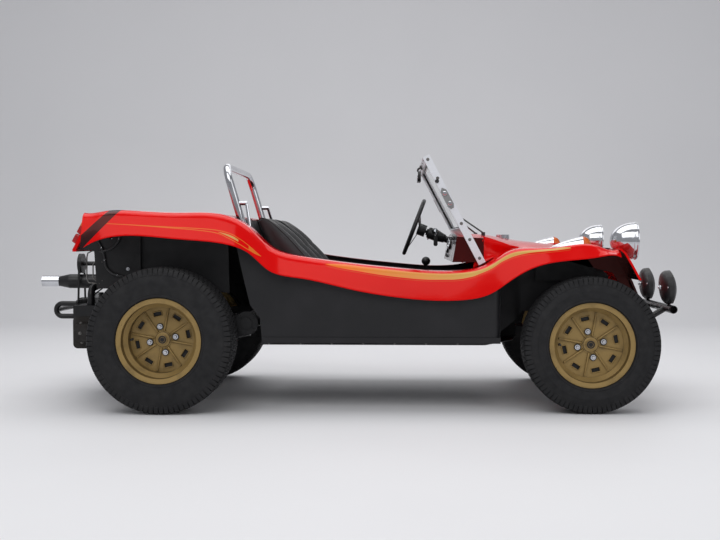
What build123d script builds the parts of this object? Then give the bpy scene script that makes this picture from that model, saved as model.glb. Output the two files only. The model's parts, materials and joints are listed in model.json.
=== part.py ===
"""Open two-seat beach buggy with a rear engine: all sizes are in millimetres.

X runs forward, Y to the car's left and Z up. The origin lies on the ground, under
the middle of the car's overall length.
"""

from build123d import *
import math
import os

os.makedirs("parts", exist_ok=True)

SIDES = (("left", 1), ("right", -1))

# Stance
WHEELBASE = 2100
REAR_OVERHANG = 817
FRONT_OVERHANG = 510
OVERALL_LENGTH = REAR_OVERHANG + WHEELBASE + FRONT_OVERHANG
REAR_X = REAR_OVERHANG - OVERALL_LENGTH / 2
FRONT_X = REAR_X + WHEELBASE
REAR_HALF_TRACK = 700
FRONT_HALF_TRACK = 630

# Gaps between neighbours
SEAT_GAP = 0.3
RUNNING_GAP = 0.1

# Wheels and tyres
RIM_RADIUS = 207.5
BEAD_RADIUS = 190
WELL_RADIUS = 168
RIM_WALL = 6
REAR_TYRE_RADIUS = 358
REAR_TYRE_WIDTH = 250
REAR_RIM_WIDTH = 228
REAR_DISH = 115
FRONT_TYRE_RADIUS = 335
FRONT_TYRE_WIDTH = 205
FRONT_RIM_WIDTH = 175
FRONT_DISH = 70
DISC_THICKNESS = 8
SLOT_COUNT = 8
SLOT_CIRCLE = 128
SLOT_LENGTH = 40
SLOT_WIDTH = 19
RIB_WIDTH = 9
RIB_HEIGHT = 7
LUG_COUNT = 4
LUG_CIRCLE = 65
LUG_RADIUS = 14
HUB_BOSS_RADIUS = 42
CAP_RADIUS = 24
CAP_HEIGHT = 12
DRUM_RADIUS = 120
DRUM_DEPTH = 54
SPINDLE_RADIUS = 15
SPINDLE_ENGAGEMENT = 36
TYRE_WALL = 12

# Body shell
SKIN = 8
SHOULDER_RADIUS = 55
DECK_FRONT = 310
TAIL_EDGE = 391
FENDER_INNER = 400
FENDER_OUTER = 690
HIP_INNER = 560
CORNER_INNER = 560
ROOM_DEPTH = 260
EDGE_LIP = 6
COAMING_INNER = 540
TYRE_SWEEP_Y = 440
FENDER_FRONT_FOOT = 652

# Floor, tunnel and cockpit walls
PAN_BOTTOM = 322
PAN_THICKNESS = 4
PAN_HALF_WIDTH = 575
PAN_REAR = 470
TUNNEL_HALF_WIDTH = 95
TUNNEL_HEIGHT = 155
TUNNEL_WALL = 4
FRAME_HEAD_HEIGHT = 60
WALL = 5
TUB_HALF_WIDTH = 570
PANEL_HALF_WIDTH = 662
SILL_HEIGHT = 338
SILL_STRIP = 6
SILL_STRIP_HEIGHT = 29
WING_REAR_HALF_WIDTH = 500
WING_FRONT_HALF_WIDTH = 345

# Columns: x, top height, lower edge height, half width at the corner and at the lower edge
SHELL_STATIONS = (
    (REAR_X - TAIL_EDGE, 982, 805, 715, 768),
    (REAR_X - 285, 991, 857, 715, 775),
    (REAR_X - 130, 992, 874, 712, 778),
    (REAR_X + 86, 983, 857, 710, 778),
    (REAR_X + 322, 966, 832, 700, 762),
    (REAR_X + 431, 905, 788, 690, 745),
    (REAR_X + 530, 812, 702, 680, 730),
    (REAR_X + 677, 767, 666, 672, 715),
    (FRONT_X - 1178, 733, 612, 668, 705),
    (FRONT_X - 933, 708, 571, 665, 700),
    (FRONT_X - 641, 697, 559, 665, 700),
    (FRONT_X - 495, 732, 589, 665, 700),
    (FRONT_X - 398, 792, 652, 662, 700),
    (FRONT_X - 302, 808, 709, 660, 700),
    (FRONT_X - 157, 813, 748, 660, 700),
    (FRONT_X + 36, 818, 770, 658, 698),
    (FRONT_X + 140, 806, 768, 655, 695),
)

# Corners of the nose and fender fronts, seen from the side
FRONT_FACE = (
    (FRONT_X + 140, 806), (FRONT_X + 165, 785), (FRONT_X + 200, 725),
    (FRONT_X + 246, 640), (FRONT_X + 288, 541),
)

# Tail
TAIL_TOP = (REAR_X - TAIL_EDGE - SEAT_GAP, 983)
TAIL_FOOT = (REAR_X - 490, 800)

# Windscreen
SCREEN_RAKE = 27.7
SCREEN_BASE_BACK = 524
SCREEN_BASE_HEIGHT = 730
SCREEN_HALF_WIDTH = 575
SCREEN_LENGTH = 605
SCREEN_BAR = 30
SCREEN_DEPTH = 37
SCREEN_SILL = 178
SCREEN_SEAL = 22
GLASS_THICKNESS = 5

# Columns: x, height on the centre line, height at the sides
HOOD_STATIONS = (
    (FRONT_X - SCREEN_BASE_BACK + 10, 879, 866),
    (FRONT_X - 400, 862, 832),
    (FRONT_X - 300, 845, 802),
    (FRONT_X - 100, 822, 772),
    (FRONT_X + 100, 768, 715),
    (FRONT_X + 220, 690, 640),
    (FRONT_X + 285, 570, 535),
)

# Cowl and bulkhead
COWL_HALF_WIDTH = SCREEN_HALF_WIDTH - SCREEN_BAR - SEAT_GAP
COWL_REAR = FRONT_X - 671
COWL_FRONT = FRONT_X - SCREEN_BASE_BACK + 10 - SEAT_GAP
COWL_FLOOR = 736
DASH_LEAN = 10
COWL_REAR_CENTRE = 886
COWL_REAR_SIDE = 866
COWL_FRONT_CENTRE = 879
COWL_FRONT_SIDE = 856

BULKHEAD_FOOT = REAR_X + PAN_REAR + 15
BULKHEAD_TOP = REAR_X + DECK_FRONT - 10
TOE_FOOT = FRONT_X - 520
TOE_TOP = FRONT_X - 450

# Steering
STEER_Y = 305
COLUMN_DIP = 21
STEERING_WHEEL_X = 1247.5
STEERING_WHEEL_HEIGHT = 920.5
STEERING_WHEEL_RADIUS = 160
STEERING_RIM_RADIUS = 11
SHAFT_RADIUS = 9
COLUMN_RADIUS = 19
HUB_RADIUS = 34
HUB_DEPTH = 46
WHEEL_DISH = 30
SPOKE_WIDTH = 26
SHAFT_ENGAGEMENT = 52
COLUMN_START = WHEEL_DISH + HUB_DEPTH - 1
KINGPIN_Y = 505
KINGPIN_RADIUS = 11
STEERING_ARM = 110
STUD_SPREAD = 20
STUD_RADIUS = 7
PITMAN_Y = 240
PITMAN_AHEAD = 20
ARM_TOP = 392
ARM_THICKNESS = 12
ROD_HEIGHT = 414
ROD_RADIUS = 9
ROD_EYE_RADIUS = 14
ROD_EYE_HEIGHT = 26

# Steering knuckles
KNUCKLE_EYE = 20
KNUCKLE_EYE_HEIGHT = 25
BOSS_HALF = 30
SWIVEL_GAP = 2
AXLE_HEIGHT = FRONT_TYRE_RADIUS
KNUCKLE_BACK = 30
KNUCKLE_PLATE = 15

# Front axle
BEAM_AHEAD = 130
BEAM_RADIUS = 30
BEAM_UPPER = 410
BEAM_LOWER = 260
BEAM_HALF_WIDTH = 400
ARM_WIDTH = 30

# Rear axle
TORSION_AHEAD = 395
TORSION_HEIGHT = 430
TORSION_RADIUS = 45
TORSION_HALF_WIDTH = 540
TORSION_COVER_RADIUS = 58
SPRING_PLATE = 10
AXLE_TUBE_RADIUS = 36

# Engine
CRANK_HEIGHT = 372
ENGINE_FRONT = -190
ENGINE_REAR = -560
ENGINE_LENGTH = ENGINE_FRONT - ENGINE_REAR
CASE_HALF_WIDTH = 125
CASE_HEIGHT = 230
CASE_TOP = CRANK_HEIGHT + CASE_HEIGHT / 2
CRANK_NOSE_RADIUS = 25
DISTRIBUTOR_RADIUS = 20
DISTRIBUTOR_X = REAR_X - 480
DISTRIBUTOR_Y = -85
CYLINDER_INSET = 95
CYLINDER_PLACES = (REAR_X + ENGINE_FRONT - CYLINDER_INSET, REAR_X + ENGINE_REAR + CYLINDER_INSET)
CYLINDER_RADIUS = 50
CYLINDER_OUT = 250
FIN_COUNT = 9
FIN_THICKNESS = 4
FIN_RADIUS = 68
PUSHROD_TUBE_RADIUS = 9
PUSHROD_TUBE_DROP = 82
PUSHROD_TUBE_PITCH = 36
HEAD_OUT = 345
HEAD_TOP = CRANK_HEIGHT + 75
HEAD_DEPTH = 170
HEAD_LENGTH = ENGINE_LENGTH - 20
ROCKER_COVER_DEPTH = 36
ROCKER_COVER_HEIGHT = 104

# Fan housing and the tins over the cylinders
HOUSING_REAR = REAR_X + ENGINE_FRONT - 150
HOUSING_DEPTH = 120
HOUSING_HALF_WIDTH = 310
HOUSING_FOOT = 500
HOUSING_TOP = 860
FAN_INLET_RADIUS = 105
FAN_INLET_DEPTH = 30
TIN_WALL = 3
TIN_INNER = 128
TIN_OUTER = HEAD_OUT + TIN_WALL

# Generator, pulleys and belt
GENERATOR_HEIGHT = 716
GENERATOR_RADIUS = 50
GENERATOR_LENGTH = 170
GENERATOR_SHAFT_RADIUS = 12
GENERATOR_PULLEY_RADIUS = 55
STAND_WIDTH = 90
STAND_DEPTH = 50
STAND_REAR = REAR_X - 430
PULLEY_REAR = REAR_X + ENGINE_REAR - 50
PULLEY_THICKNESS = 22
CRANK_PULLEY_RADIUS = 85
GROOVE_WIDTH = 12
GROOVE_DEPTH = 8
BELT_WIDTH = 10
BELT_THICKNESS = 8

# Exhaust
EXHAUST_HEIGHT = 618
EXHAUST_RADIUS = 39
EXHAUST_REAR = REAR_X - 665
EXHAUST_LENGTH = 225
HEADER_RADIUS = 19
HEADER_X = REAR_X - 465
HEADER_Y = 300
TIP_RADIUS = 30
TIP_LENGTH = 96

# Inlet manifold, carburettor and air cleaner
MANIFOLD_X = REAR_X - 362
MANIFOLD_Y = 300
MANIFOLD_HEIGHT = 540
MANIFOLD_RADIUS = 14
CARBURETTOR_X = REAR_X - 405
CARBURETTOR_Y = 150
CLEANER_X = REAR_X - 418
CLEANER_RADIUS = 70
CLEANER_FOOT = 650
CLEANER_HEIGHT = 55

# Roll hoop
HOOP_TUBE = 20
HOOP_TOP = 1222
HOOP_TOP_AHEAD = 275
HOOP_LEAN = 0.30
HOOP_FOOT_Y = 500
HOOP_CORNER_Y = 462
HOOP_BEND = 90
HOOP_FLANGE = 45
STAY_HEIGHT = 1035
STAY_Y = 472
STAY_LUG = 58

# Front bar
BAR_AHEAD = 475
BAR_HEIGHT = 488
BAR_RADIUS = 21
BAR_HALF_WIDTH = 350
BAR_BORE_RADIUS = 18
BAR_BORE_DEPTH = 70
BAR_STAY_RADIUS = 16
BAR_STAY_Y = 180

# Rear bar
LOOP_TUBE = 13.5
LOOP_Y = 200
LOOP_TOP = 505
LOOP_FOOT = 437
LOOP_REAR = REAR_X - 681

# Seats
SEAT_Y = 327
SEAT_HALF_WIDTH = 205
BOLSTER = 55

# Driving lamps, their domed covers tilted slightly upward
LAMP_Y = 250
LAMP_RADIUS = 88
LAMP_HEIGHT = 600
LAMP_RIM = 12
LAMP_DOME = 26
LAMP_BACK = 30
LAMP_TILT = 5
LAMP_STEM_RADIUS = 9

# Headlights
HEADLIGHT_Y = 500
HEADLIGHT_HEIGHT = 843
HEADLIGHT_RADIUS = 93
HEADLIGHT_FACE = FRONT_X + 245
HEADLIGHT_DEPTH = 125
HEADLIGHT_RIM = 8
LENS_DOME = 14

# Indicators: ahead of the front axle, half width and half height of their sections
INDICATOR_Y = 545
INDICATOR_HEIGHT = 812
INDICATOR_BODY = ((-176, 4, 4), (-100, 24, 34), (-24, 36, 54))
INDICATOR_LENS = ((-24 + SEAT_GAP, 36, 54), (4, 28, 42), (18, 12, 18))

# Tail lamps
TAIL_LAMP_Y = 505
TAIL_LAMP_WIDTH = 88
TAIL_LAMP_DEPTH = 24
TAIL_LAMP_RED = 96
TAIL_LAMP_AMBER = 52

# Gauges in the panel: distance from the centre line, height over the panel's foot, radius
GAUGE_ROWS = (
    (195, 80, 42), (110, 86, 26), (45, 86, 26), (-20, 86, 26), (235, 26, 9), (150, 26, 9),
    (110, 26, 9), (70, 26, 9),
)
GAUGE_DEPTH = 8
BEZEL_WIDTH = 5

# Wipers and mirror
WIPER_X = FRONT_X - 500
WIPER_Y = 300
BLADE_Y = 190
BLADE_ALONG = 290
BLADE_LENGTH = 280
BLADE_SLOPE = 20
MIRROR_X = FRONT_X - 830
MIRROR_HEIGHT = 1191

# Pedals and handbrake
PEDAL_X = FRONT_X - 600
PEDAL_ROWS = (170, 250, 330)
HANDBRAKE_X = REAR_X + 1170

# Wheels

# Columns: axle name, x, tyre radius, half track, tyre width, rim width, dish
WHEEL_ROWS = (
    ("rear", REAR_X, REAR_TYRE_RADIUS, REAR_HALF_TRACK, REAR_TYRE_WIDTH, REAR_RIM_WIDTH, REAR_DISH),
    ("front", FRONT_X, FRONT_TYRE_RADIUS, FRONT_HALF_TRACK, FRONT_TYRE_WIDTH, FRONT_RIM_WIDTH,
     FRONT_DISH),
)


def finish(piece, name):
    """Label one finished sub-part and write its file."""
    piece.part.label = name
    export_step(piece.part, f"parts/{name}.step")


def skin_section(x, top, low, corner, edge, inset, floor):
    """Half a cross-section of the shell: a flat top, a round shoulder and a flank."""
    radius = min(SHOULDER_RADIUS, (top - low) * 0.55) - inset
    with BuildSketch(Plane.YZ.offset(x)) as section:
        with BuildLine():
            FilletPolyline(
                (0, top - inset), (corner - inset, top - inset), (edge - inset, low),
                (edge - inset, floor), (0, floor),
                radius=[0, radius, 0, 0, 0], close=True,
            )
        make_face()
    return section.sketch


def shell_block(inset, drop):
    """Everything inside the shell's outer face less an inset, and down past its lower edge."""
    with BuildPart() as half:
        loft([skin_section(x, top, low, corner, edge, inset, low - drop)
              for x, top, low, corner, edge in SHELL_STATIONS])
    with BuildPart() as block:
        add(half.part)
        mirror(half.part, about=Plane.XZ)
    return block.part


def skin_room():
    """Everything under the skin, to trim the walls that meet it from below."""
    return shell_block(SKIN + SEAT_GAP, ROOM_DEPTH)


def side_wedge(gap):
    """The slanted rear corner, seen from the side, that a black panel fills."""
    with BuildPart() as wedge:
        for _, side in SIDES:
            with BuildSketch(Plane.XZ.offset(-side * (CORNER_INNER + gap))):
                with BuildLine():
                    Polyline(
                        (REAR_X - 420, 1010), (REAR_X - 190 - gap, 1010),
                        (REAR_X - 395 - gap, 789), (REAR_X - 420, 789), close=True,
                    )
                make_face()
            extrude(amount=-side * 240)
    return wedge.part


def make_body_shell():
    """Red glass-fibre shell: rear deck, hips, coamings and front fenders."""
    outer = shell_block(0, EDGE_LIP)
    with BuildPart() as fender_faces:
        for _, side in SIDES:
            with BuildSketch(Plane.XZ.offset(-side * FENDER_INNER)):
                with BuildLine():
                    face_back = [(x - SKIN * 1.2, z - SKIN * 0.5) for x, z in FRONT_FACE]
                    Polyline(*FRONT_FACE, *reversed(face_back), close=True)
                make_face()
            extrude(amount=-side * (FENDER_OUTER - FENDER_INNER))
            with BuildSketch(Plane.XZ.offset(-side * TYRE_SWEEP_Y)):
                with Locations((FRONT_X, FENDER_FRONT_FOOT)):
                    Rectangle(2 * FRONT_OVERHANG, FENDER_FRONT_FOOT,
                              align=(Align.CENTER, Align.MAX))
            extrude(amount=-side * FENDER_OUTER, mode=Mode.SUBTRACT)
            with BuildSketch(Plane.XZ.offset(-side * FENDER_INNER)):
                with BuildLine():
                    Polyline(
                        (FRONT_X - 398, 786), (FRONT_X - 302, 802), (FRONT_X + 36, 812),
                        *FRONT_FACE, (FRONT_X + 250, 541), (FRONT_X + 150, 680),
                        (FRONT_X - 100, 745), (FRONT_X - 398, 760), close=True,
                    )
                make_face()
            extrude(amount=-side * SKIN)
    with BuildPart() as body_shell:
        add(outer)
        add(shell_block(SKIN, ROOM_DEPTH), mode=Mode.SUBTRACT)
        with BuildSketch(Plane.XY.offset(SILL_HEIGHT)):
            with BuildLine():
                right = [
                    (REAR_X + DECK_FRONT, -HIP_INNER), (REAR_X + 677, -COAMING_INNER),
                    (FRONT_X - 560, -COAMING_INNER), (FRONT_X - 420, -FENDER_INNER),
                    (FRONT_X + 200, -FENDER_INNER),
                ]
                left = [(x, -y) for x, y in reversed(right)]
                Polyline(*right, *left, close=True)
            make_face()
        extrude(amount=1000, mode=Mode.SUBTRACT)
        add(fender_faces.part)
        add(side_wedge(0), mode=Mode.SUBTRACT)
    finish(body_shell, "body_shell")


def make_tail_corners():
    """Black panels that fill the slanted rear corners of the shell."""
    with BuildPart() as tail_corners:
        add(shell_block(0, EDGE_LIP))
        add(shell_block(SKIN, ROOM_DEPTH), mode=Mode.SUBTRACT)
        add(side_wedge(SEAT_GAP), mode=Mode.INTERSECT)
    finish(tail_corners, "tail_corners")


def make_tail_panel():
    """Red rear panel that leans out below the deck."""
    with BuildPart() as tail_panel:
        with BuildSketch(Plane.XZ.offset(-555)):
            with BuildLine():
                Polyline(
                    TAIL_TOP, TAIL_FOOT, (TAIL_FOOT[0], TAIL_FOOT[1] - 12),
                    (TAIL_FOOT[0] + 20, TAIL_FOOT[1] - 12), (TAIL_FOOT[0] + 20, TAIL_FOOT[1]),
                    (TAIL_TOP[0], TAIL_TOP[1] - 33), close=True,
                )
            make_face()
        extrude(amount=1110)
    finish(tail_panel, "tail_panel")


def crowned_section(x, centre, side, half_width, depth):
    """A crowned strip across the car, thick downward by depth."""
    with BuildSketch(Plane.YZ.offset(x)) as section:
        with BuildLine():
            ThreePointArc((-half_width, side), (0, centre), (half_width, side))
            Line((half_width, side), (half_width, side - depth))
            ThreePointArc(
                (half_width, side - depth), (0, centre - depth), (-half_width, side - depth)
            )
            Line((-half_width, side - depth), (-half_width, side))
        make_face()
    return section.sketch


def make_hood():
    """Crowned hood and nose between the fenders."""
    half_width = FENDER_INNER - SEAT_GAP
    with BuildPart() as hood:
        loft([crowned_section(x, centre, side, half_width, SKIN)
              for x, centre, side in HOOD_STATIONS])
    finish(hood, "hood")


def crowned_block(x, centre, side, half_width, floor):
    """A cross-section with a crowned top and straight sides down to a floor."""
    with BuildSketch(Plane.YZ.offset(x)) as section:
        with BuildLine():
            ThreePointArc((-half_width, side), (0, centre), (half_width, side))
            Polyline(
                (half_width, side), (half_width, floor), (-half_width, floor), (-half_width, side)
            )
        make_face()
    return section.sketch


def hood_block():
    """The hood's outer form, filled down to a floor."""
    with BuildPart() as block:
        loft([crowned_block(x, centre, side, FENDER_INNER, 500)
              for x, centre, side in HOOD_STATIONS])
    return block.part


def dash_plane(offset):
    """The slanted plane of the instrument panel, its normal pointing forward."""
    lean = math.radians(DASH_LEAN)
    return Plane(
        origin=(COWL_REAR, 0, COWL_FLOOR), x_dir=(0, -1, 0),
        z_dir=(math.cos(lean), 0, -math.sin(lean)),
    ).offset(offset)


def cowl_block():
    """The cowl's outer form as a solid."""
    with BuildPart() as block:
        loft([
            crowned_block(COWL_REAR, COWL_REAR_CENTRE, COWL_REAR_SIDE, COWL_HALF_WIDTH,
                          COWL_FLOOR),
            crowned_block(COWL_FRONT, COWL_FRONT_CENTRE, COWL_FRONT_SIDE, COWL_HALF_WIDTH,
                          COWL_FLOOR),
        ])
        split(bisect_by=dash_plane(0), keep=Keep.TOP)
    return block.part


def make_cowl():
    """Scuttle with the slanted instrument panel, open below and in front."""
    with BuildPart() as hollow:
        loft([
            crowned_block(COWL_REAR, COWL_REAR_CENTRE - SKIN, COWL_REAR_SIDE - SKIN,
                          COWL_HALF_WIDTH - WALL, COWL_FLOOR - 10),
            crowned_block(COWL_FRONT + 1, COWL_FRONT_CENTRE - SKIN, COWL_FRONT_SIDE - SKIN,
                          COWL_HALF_WIDTH - WALL, COWL_FLOOR - 10),
        ])
        split(bisect_by=dash_plane(SKIN), keep=Keep.TOP)
    with BuildPart() as cowl:
        add(cowl_block())
        add(hollow.part, mode=Mode.SUBTRACT)
        with BuildSketch(column_plane(0)):
            Circle(COLUMN_RADIUS + SEAT_GAP)
        extrude(amount=600, mode=Mode.SUBTRACT)
    finish(cowl, "cowl")


def column_plane(along):
    """A plane across the steering column, its normal pointing down the column."""
    dip = math.radians(COLUMN_DIP)
    return Plane(
        origin=(REAR_X + STEERING_WHEEL_X, STEER_Y, STEERING_WHEEL_HEIGHT),
        x_dir=(0, 1, 0),
        z_dir=(math.cos(dip), 0, -math.sin(dip)),
    ).offset(along)


def make_floorpan():
    """Floor pan with its centre tunnel and the narrow frame head in front."""
    with BuildPart() as floorpan:
        with BuildSketch(Plane.XY.offset(PAN_BOTTOM)):
            with BuildLine():
                right = [
                    (REAR_X + PAN_REAR, -PAN_HALF_WIDTH),
                    (FRONT_X - 510, -PAN_HALF_WIDTH),
                    (FRONT_X - 350, -300),
                    (FRONT_X - 310, -TUNNEL_HALF_WIDTH),
                    (FRONT_X + BEAM_AHEAD - BEAM_RADIUS - 20, -TUNNEL_HALF_WIDTH),
                ]
                left = [(x, -y) for x, y in reversed(right)]
                Polyline(*right, *left, close=True)
            make_face()
        extrude(amount=PAN_THICKNESS)
        tunnel_rear = REAR_X + TORSION_AHEAD + TORSION_RADIUS + SEAT_GAP
        tunnel_top = PAN_BOTTOM + TUNNEL_HEIGHT
        with BuildSketch(Plane.YZ.offset(tunnel_rear)):
            with BuildLine():
                FilletPolyline(
                    (-TUNNEL_HALF_WIDTH, PAN_BOTTOM), (15 - TUNNEL_HALF_WIDTH, tunnel_top),
                    (TUNNEL_HALF_WIDTH - 15, tunnel_top), (TUNNEL_HALF_WIDTH, PAN_BOTTOM),
                    radius=[0, 35, 35, 0], close=True,
                )
            make_face()
        extrude(amount=FRONT_X - 310 - tunnel_rear)
        with BuildSketch(Plane.XY.offset(PAN_BOTTOM)):
            with Locations((FRONT_X - 310, 0)):
                Rectangle(BEAM_AHEAD + 290 - BEAM_RADIUS, 2 * TUNNEL_HALF_WIDTH,
                          align=(Align.MIN, Align.CENTER))
        extrude(amount=FRAME_HEAD_HEIGHT)
    finish(floorpan, "floorpan")


def make_cockpit_tub():
    """Inner cockpit walls: both sides, the slanted rear bulkhead and the toe board."""
    room = skin_room()
    floor = PAN_BOTTOM + PAN_THICKNESS + SEAT_GAP
    with BuildPart() as cockpit_tub:
        for _, side in SIDES:
            with BuildSketch(Plane.XZ.offset(-side * TUB_HALF_WIDTH)):
                with BuildLine():
                    Polyline(
                        (BULKHEAD_FOOT - WALL, floor), (BULKHEAD_TOP - WALL, 1000),
                        (TOE_TOP, 1000), (TOE_TOP, COWL_FLOOR - 40), (TOE_FOOT, floor),
                        close=True,
                    )
                make_face()
            extrude(amount=side * WALL)
        with BuildSketch(Plane.XZ.offset(TUB_HALF_WIDTH - WALL)):
            with BuildLine():
                Polyline(
                    (BULKHEAD_FOOT, floor), (BULKHEAD_TOP, 1000), (BULKHEAD_TOP - WALL, 1000),
                    (BULKHEAD_FOOT - WALL, floor), close=True,
                )
            make_face()
        extrude(amount=-2 * (TUB_HALF_WIDTH - WALL))
        with BuildSketch(Plane.XZ.offset(TUB_HALF_WIDTH - WALL)):
            with BuildLine():
                Polyline(
                    (TOE_FOOT, floor), (TOE_TOP, COWL_FLOOR - 40),
                    (TOE_TOP - WALL, COWL_FLOOR - 40), (TOE_FOOT - WALL, floor), close=True,
                )
            make_face()
        extrude(amount=-2 * (TUB_HALF_WIDTH - WALL))
        add(room, mode=Mode.INTERSECT)
        with BuildSketch(Plane.YZ.offset(REAR_X + DECK_FRONT)):
            with Locations((0, PAN_BOTTOM)):
                Rectangle(2 * TUNNEL_HALF_WIDTH + 10, TUNNEL_HEIGHT + 10,
                          align=(Align.CENTER, Align.MIN))
        extrude(amount=TOE_TOP - REAR_X - DECK_FRONT, mode=Mode.SUBTRACT)
        with BuildSketch(column_plane(0)):
            Circle(COLUMN_RADIUS + 3)
        extrude(amount=700, mode=Mode.SUBTRACT)
    finish(cockpit_tub, "cockpit_tub")


def make_side_panel(name, side):
    """Black side below the red band, turned inward at both ends."""
    room = skin_room()
    rear_x = REAR_X + 330
    front_x = FRONT_X - 437
    with BuildPart() as panel:
        with BuildSketch(Plane.XY.offset(SILL_HEIGHT)):
            with BuildLine():
                outer = FilletPolyline(
                    (rear_x, side * (WING_REAR_HALF_WIDTH + 40)), (rear_x, side * PANEL_HALF_WIDTH),
                    (front_x, side * PANEL_HALF_WIDTH), (front_x, side * 440),
                    (FRONT_X - 330, side * WING_FRONT_HALF_WIDTH),
                    (FRONT_X + 190, side * WING_FRONT_HALF_WIDTH),
                    radius=[1, 40, 30, 60],
                )
                offset(outer, amount=WALL, side=Side.LEFT if side < 0 else Side.RIGHT)
            make_face()
        extrude(amount=700)
        with BuildSketch(Plane.XZ.offset(0)):
            with BuildLine():
                Polyline(
                    (REAR_X + 340, 900), (REAR_X + 391, 669), (REAR_X + 426, 526),
                    (REAR_X + 475, 461), (REAR_X + 485, SILL_HEIGHT), (FRONT_X - 420, SILL_HEIGHT),
                    (FRONT_X - 300, 480), (FRONT_X + 200, 480), (FRONT_X + 270, 560),
                    (FRONT_X + 100, 700), (FRONT_X - 300, 755), (FRONT_X - 430, 755),
                    (FRONT_X - 430, 1000), (REAR_X + 340, 1000), close=True,
                )
            make_face()
        extrude(amount=800, both=True, mode=Mode.INTERSECT)
        add(room, mode=Mode.INTERSECT)
        with BuildSketch(Plane.XY.offset(SILL_HEIGHT)):
            with Locations(((REAR_X + 485 + front_x - 3) / 2, side * (PANEL_HALF_WIDTH - 1))):
                Rectangle(front_x - 3 - REAR_X - 485, 2 * SILL_STRIP)
        extrude(amount=SILL_STRIP_HEIGHT)
    finish(panel, name)


def make_rear_inner_wings():
    """Black inner walls of the rear wheel arches."""
    room = skin_room()
    with BuildPart() as rear_inner_wings:
        for _, side in SIDES:
            with BuildSketch(Plane.XZ.offset(-side * WING_REAR_HALF_WIDTH)):
                with BuildLine():
                    Polyline(
                        (REAR_X - 255, 1000), (REAR_X - 255, 700), (REAR_X - 60, 560),
                        (REAR_X + 300, 560), (BULKHEAD_TOP - WALL - 5, 1000), close=True,
                    )
                make_face()
            extrude(amount=side * WALL)
        add(room, mode=Mode.INTERSECT)
    finish(rear_inner_wings, "rear_inner_wings")


def screen_plane(along, forward):
    """A plane in the raked windscreen, moved up the slope and off its centre sheet."""
    rake = math.radians(SCREEN_RAKE)
    normal = Vector(math.cos(rake), 0, math.sin(rake))
    slope = Vector(-math.sin(rake), 0, math.cos(rake))
    base = Vector(FRONT_X - SCREEN_BASE_BACK, 0, SCREEN_BASE_HEIGHT)
    return Plane(origin=base + slope * along + normal * forward, x_dir=(0, 1, 0), z_dir=normal)


def make_windscreen():
    """Bolted aluminium frame with its pane."""
    opening = SCREEN_LENGTH - SCREEN_SILL - 2 * SCREEN_BAR
    middle = SCREEN_SILL + SCREEN_BAR + opening / 2
    inner_width = 2 * (SCREEN_HALF_WIDTH - SCREEN_BAR)
    with BuildPart() as windscreen_frame:
        with BuildSketch(screen_plane(0, -SCREEN_DEPTH / 2)):
            with Locations((0, SCREEN_LENGTH / 2)):
                Rectangle(2 * SCREEN_HALF_WIDTH, SCREEN_LENGTH)
            with Locations((0, middle)):
                Rectangle(inner_width, opening, mode=Mode.SUBTRACT)
            with Locations((0, (SCREEN_SILL - SCREEN_SEAL) / 2)):
                Rectangle(inner_width, SCREEN_SILL - SCREEN_SEAL, mode=Mode.SUBTRACT)
        extrude(amount=SCREEN_DEPTH)
        add(Pos(0, 0, SEAT_GAP) * cowl_block(), mode=Mode.SUBTRACT)
    finish(windscreen_frame, "windscreen_frame")

    with BuildPart() as windscreen_glass:
        with BuildSketch(screen_plane(0, -GLASS_THICKNESS / 2)):
            with Locations((0, middle)):
                Rectangle(inner_width - 2 * SEAT_GAP, opening - 2 * SEAT_GAP)
        extrude(amount=GLASS_THICKNESS)
    finish(windscreen_glass, "windscreen_glass")


def hoop_point(height, y):
    return (REAR_X + HOOP_TOP_AHEAD + HOOP_LEAN * (HOOP_TOP - height), y, height)


def hoop_stays():
    """Lug and thin stay on either leg, down to the shell beside the seats."""
    with BuildPart() as stays:
        for _, side in SIDES:
            leg = Vector(*hoop_point(STAY_HEIGHT, side * STAY_Y))
            lug_end = leg + Vector(STAY_LUG, 0, 0)
            with BuildSketch(Plane(origin=leg, z_dir=(1, 0, 0))):
                Circle(11)
            extrude(amount=STAY_LUG)
            foot = Vector(REAR_X + 425, side * 575, 890)
            with BuildSketch(Plane(origin=lug_end - Vector(6, 0, 0), z_dir=foot - lug_end)):
                Circle(8)
            extrude(amount=(foot - lug_end).length)
        add(Pos(0, 0, SEAT_GAP) * shell_block(0, ROOM_DEPTH), mode=Mode.SUBTRACT)
    return stays.part


def make_roll_hoop():
    """Chromed roll hoop, its feet bolted to the floor pan."""
    foot = PAN_BOTTOM + PAN_THICKNESS + SEAT_GAP
    with BuildPart() as roll_hoop:
        with BuildLine() as path:
            FilletPolyline(
                hoop_point(foot + 6, -HOOP_FOOT_Y), hoop_point(HOOP_TOP, -HOOP_CORNER_Y),
                hoop_point(HOOP_TOP, HOOP_CORNER_Y), hoop_point(foot + 6, HOOP_FOOT_Y),
                radius=HOOP_BEND,
            )
        with BuildSketch(Plane(origin=path.line @ 0, z_dir=path.line % 0)):
            Circle(HOOP_TUBE)
        sweep(path=path.line)
        for _, side in SIDES:
            x, y, _ = hoop_point(foot, side * HOOP_FOOT_Y)
            with BuildSketch(Plane(origin=(x, y, foot))):
                RectangleRounded(2 * HOOP_FLANGE, 2 * HOOP_FLANGE, 8)
            extrude(amount=12)
        with BuildSketch(Plane.XY.offset(foot)):
            Rectangle(3000, 2000)
        extrude(amount=-60, mode=Mode.SUBTRACT)
        add(hoop_stays())
    finish(roll_hoop, "roll_hoop")


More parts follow.
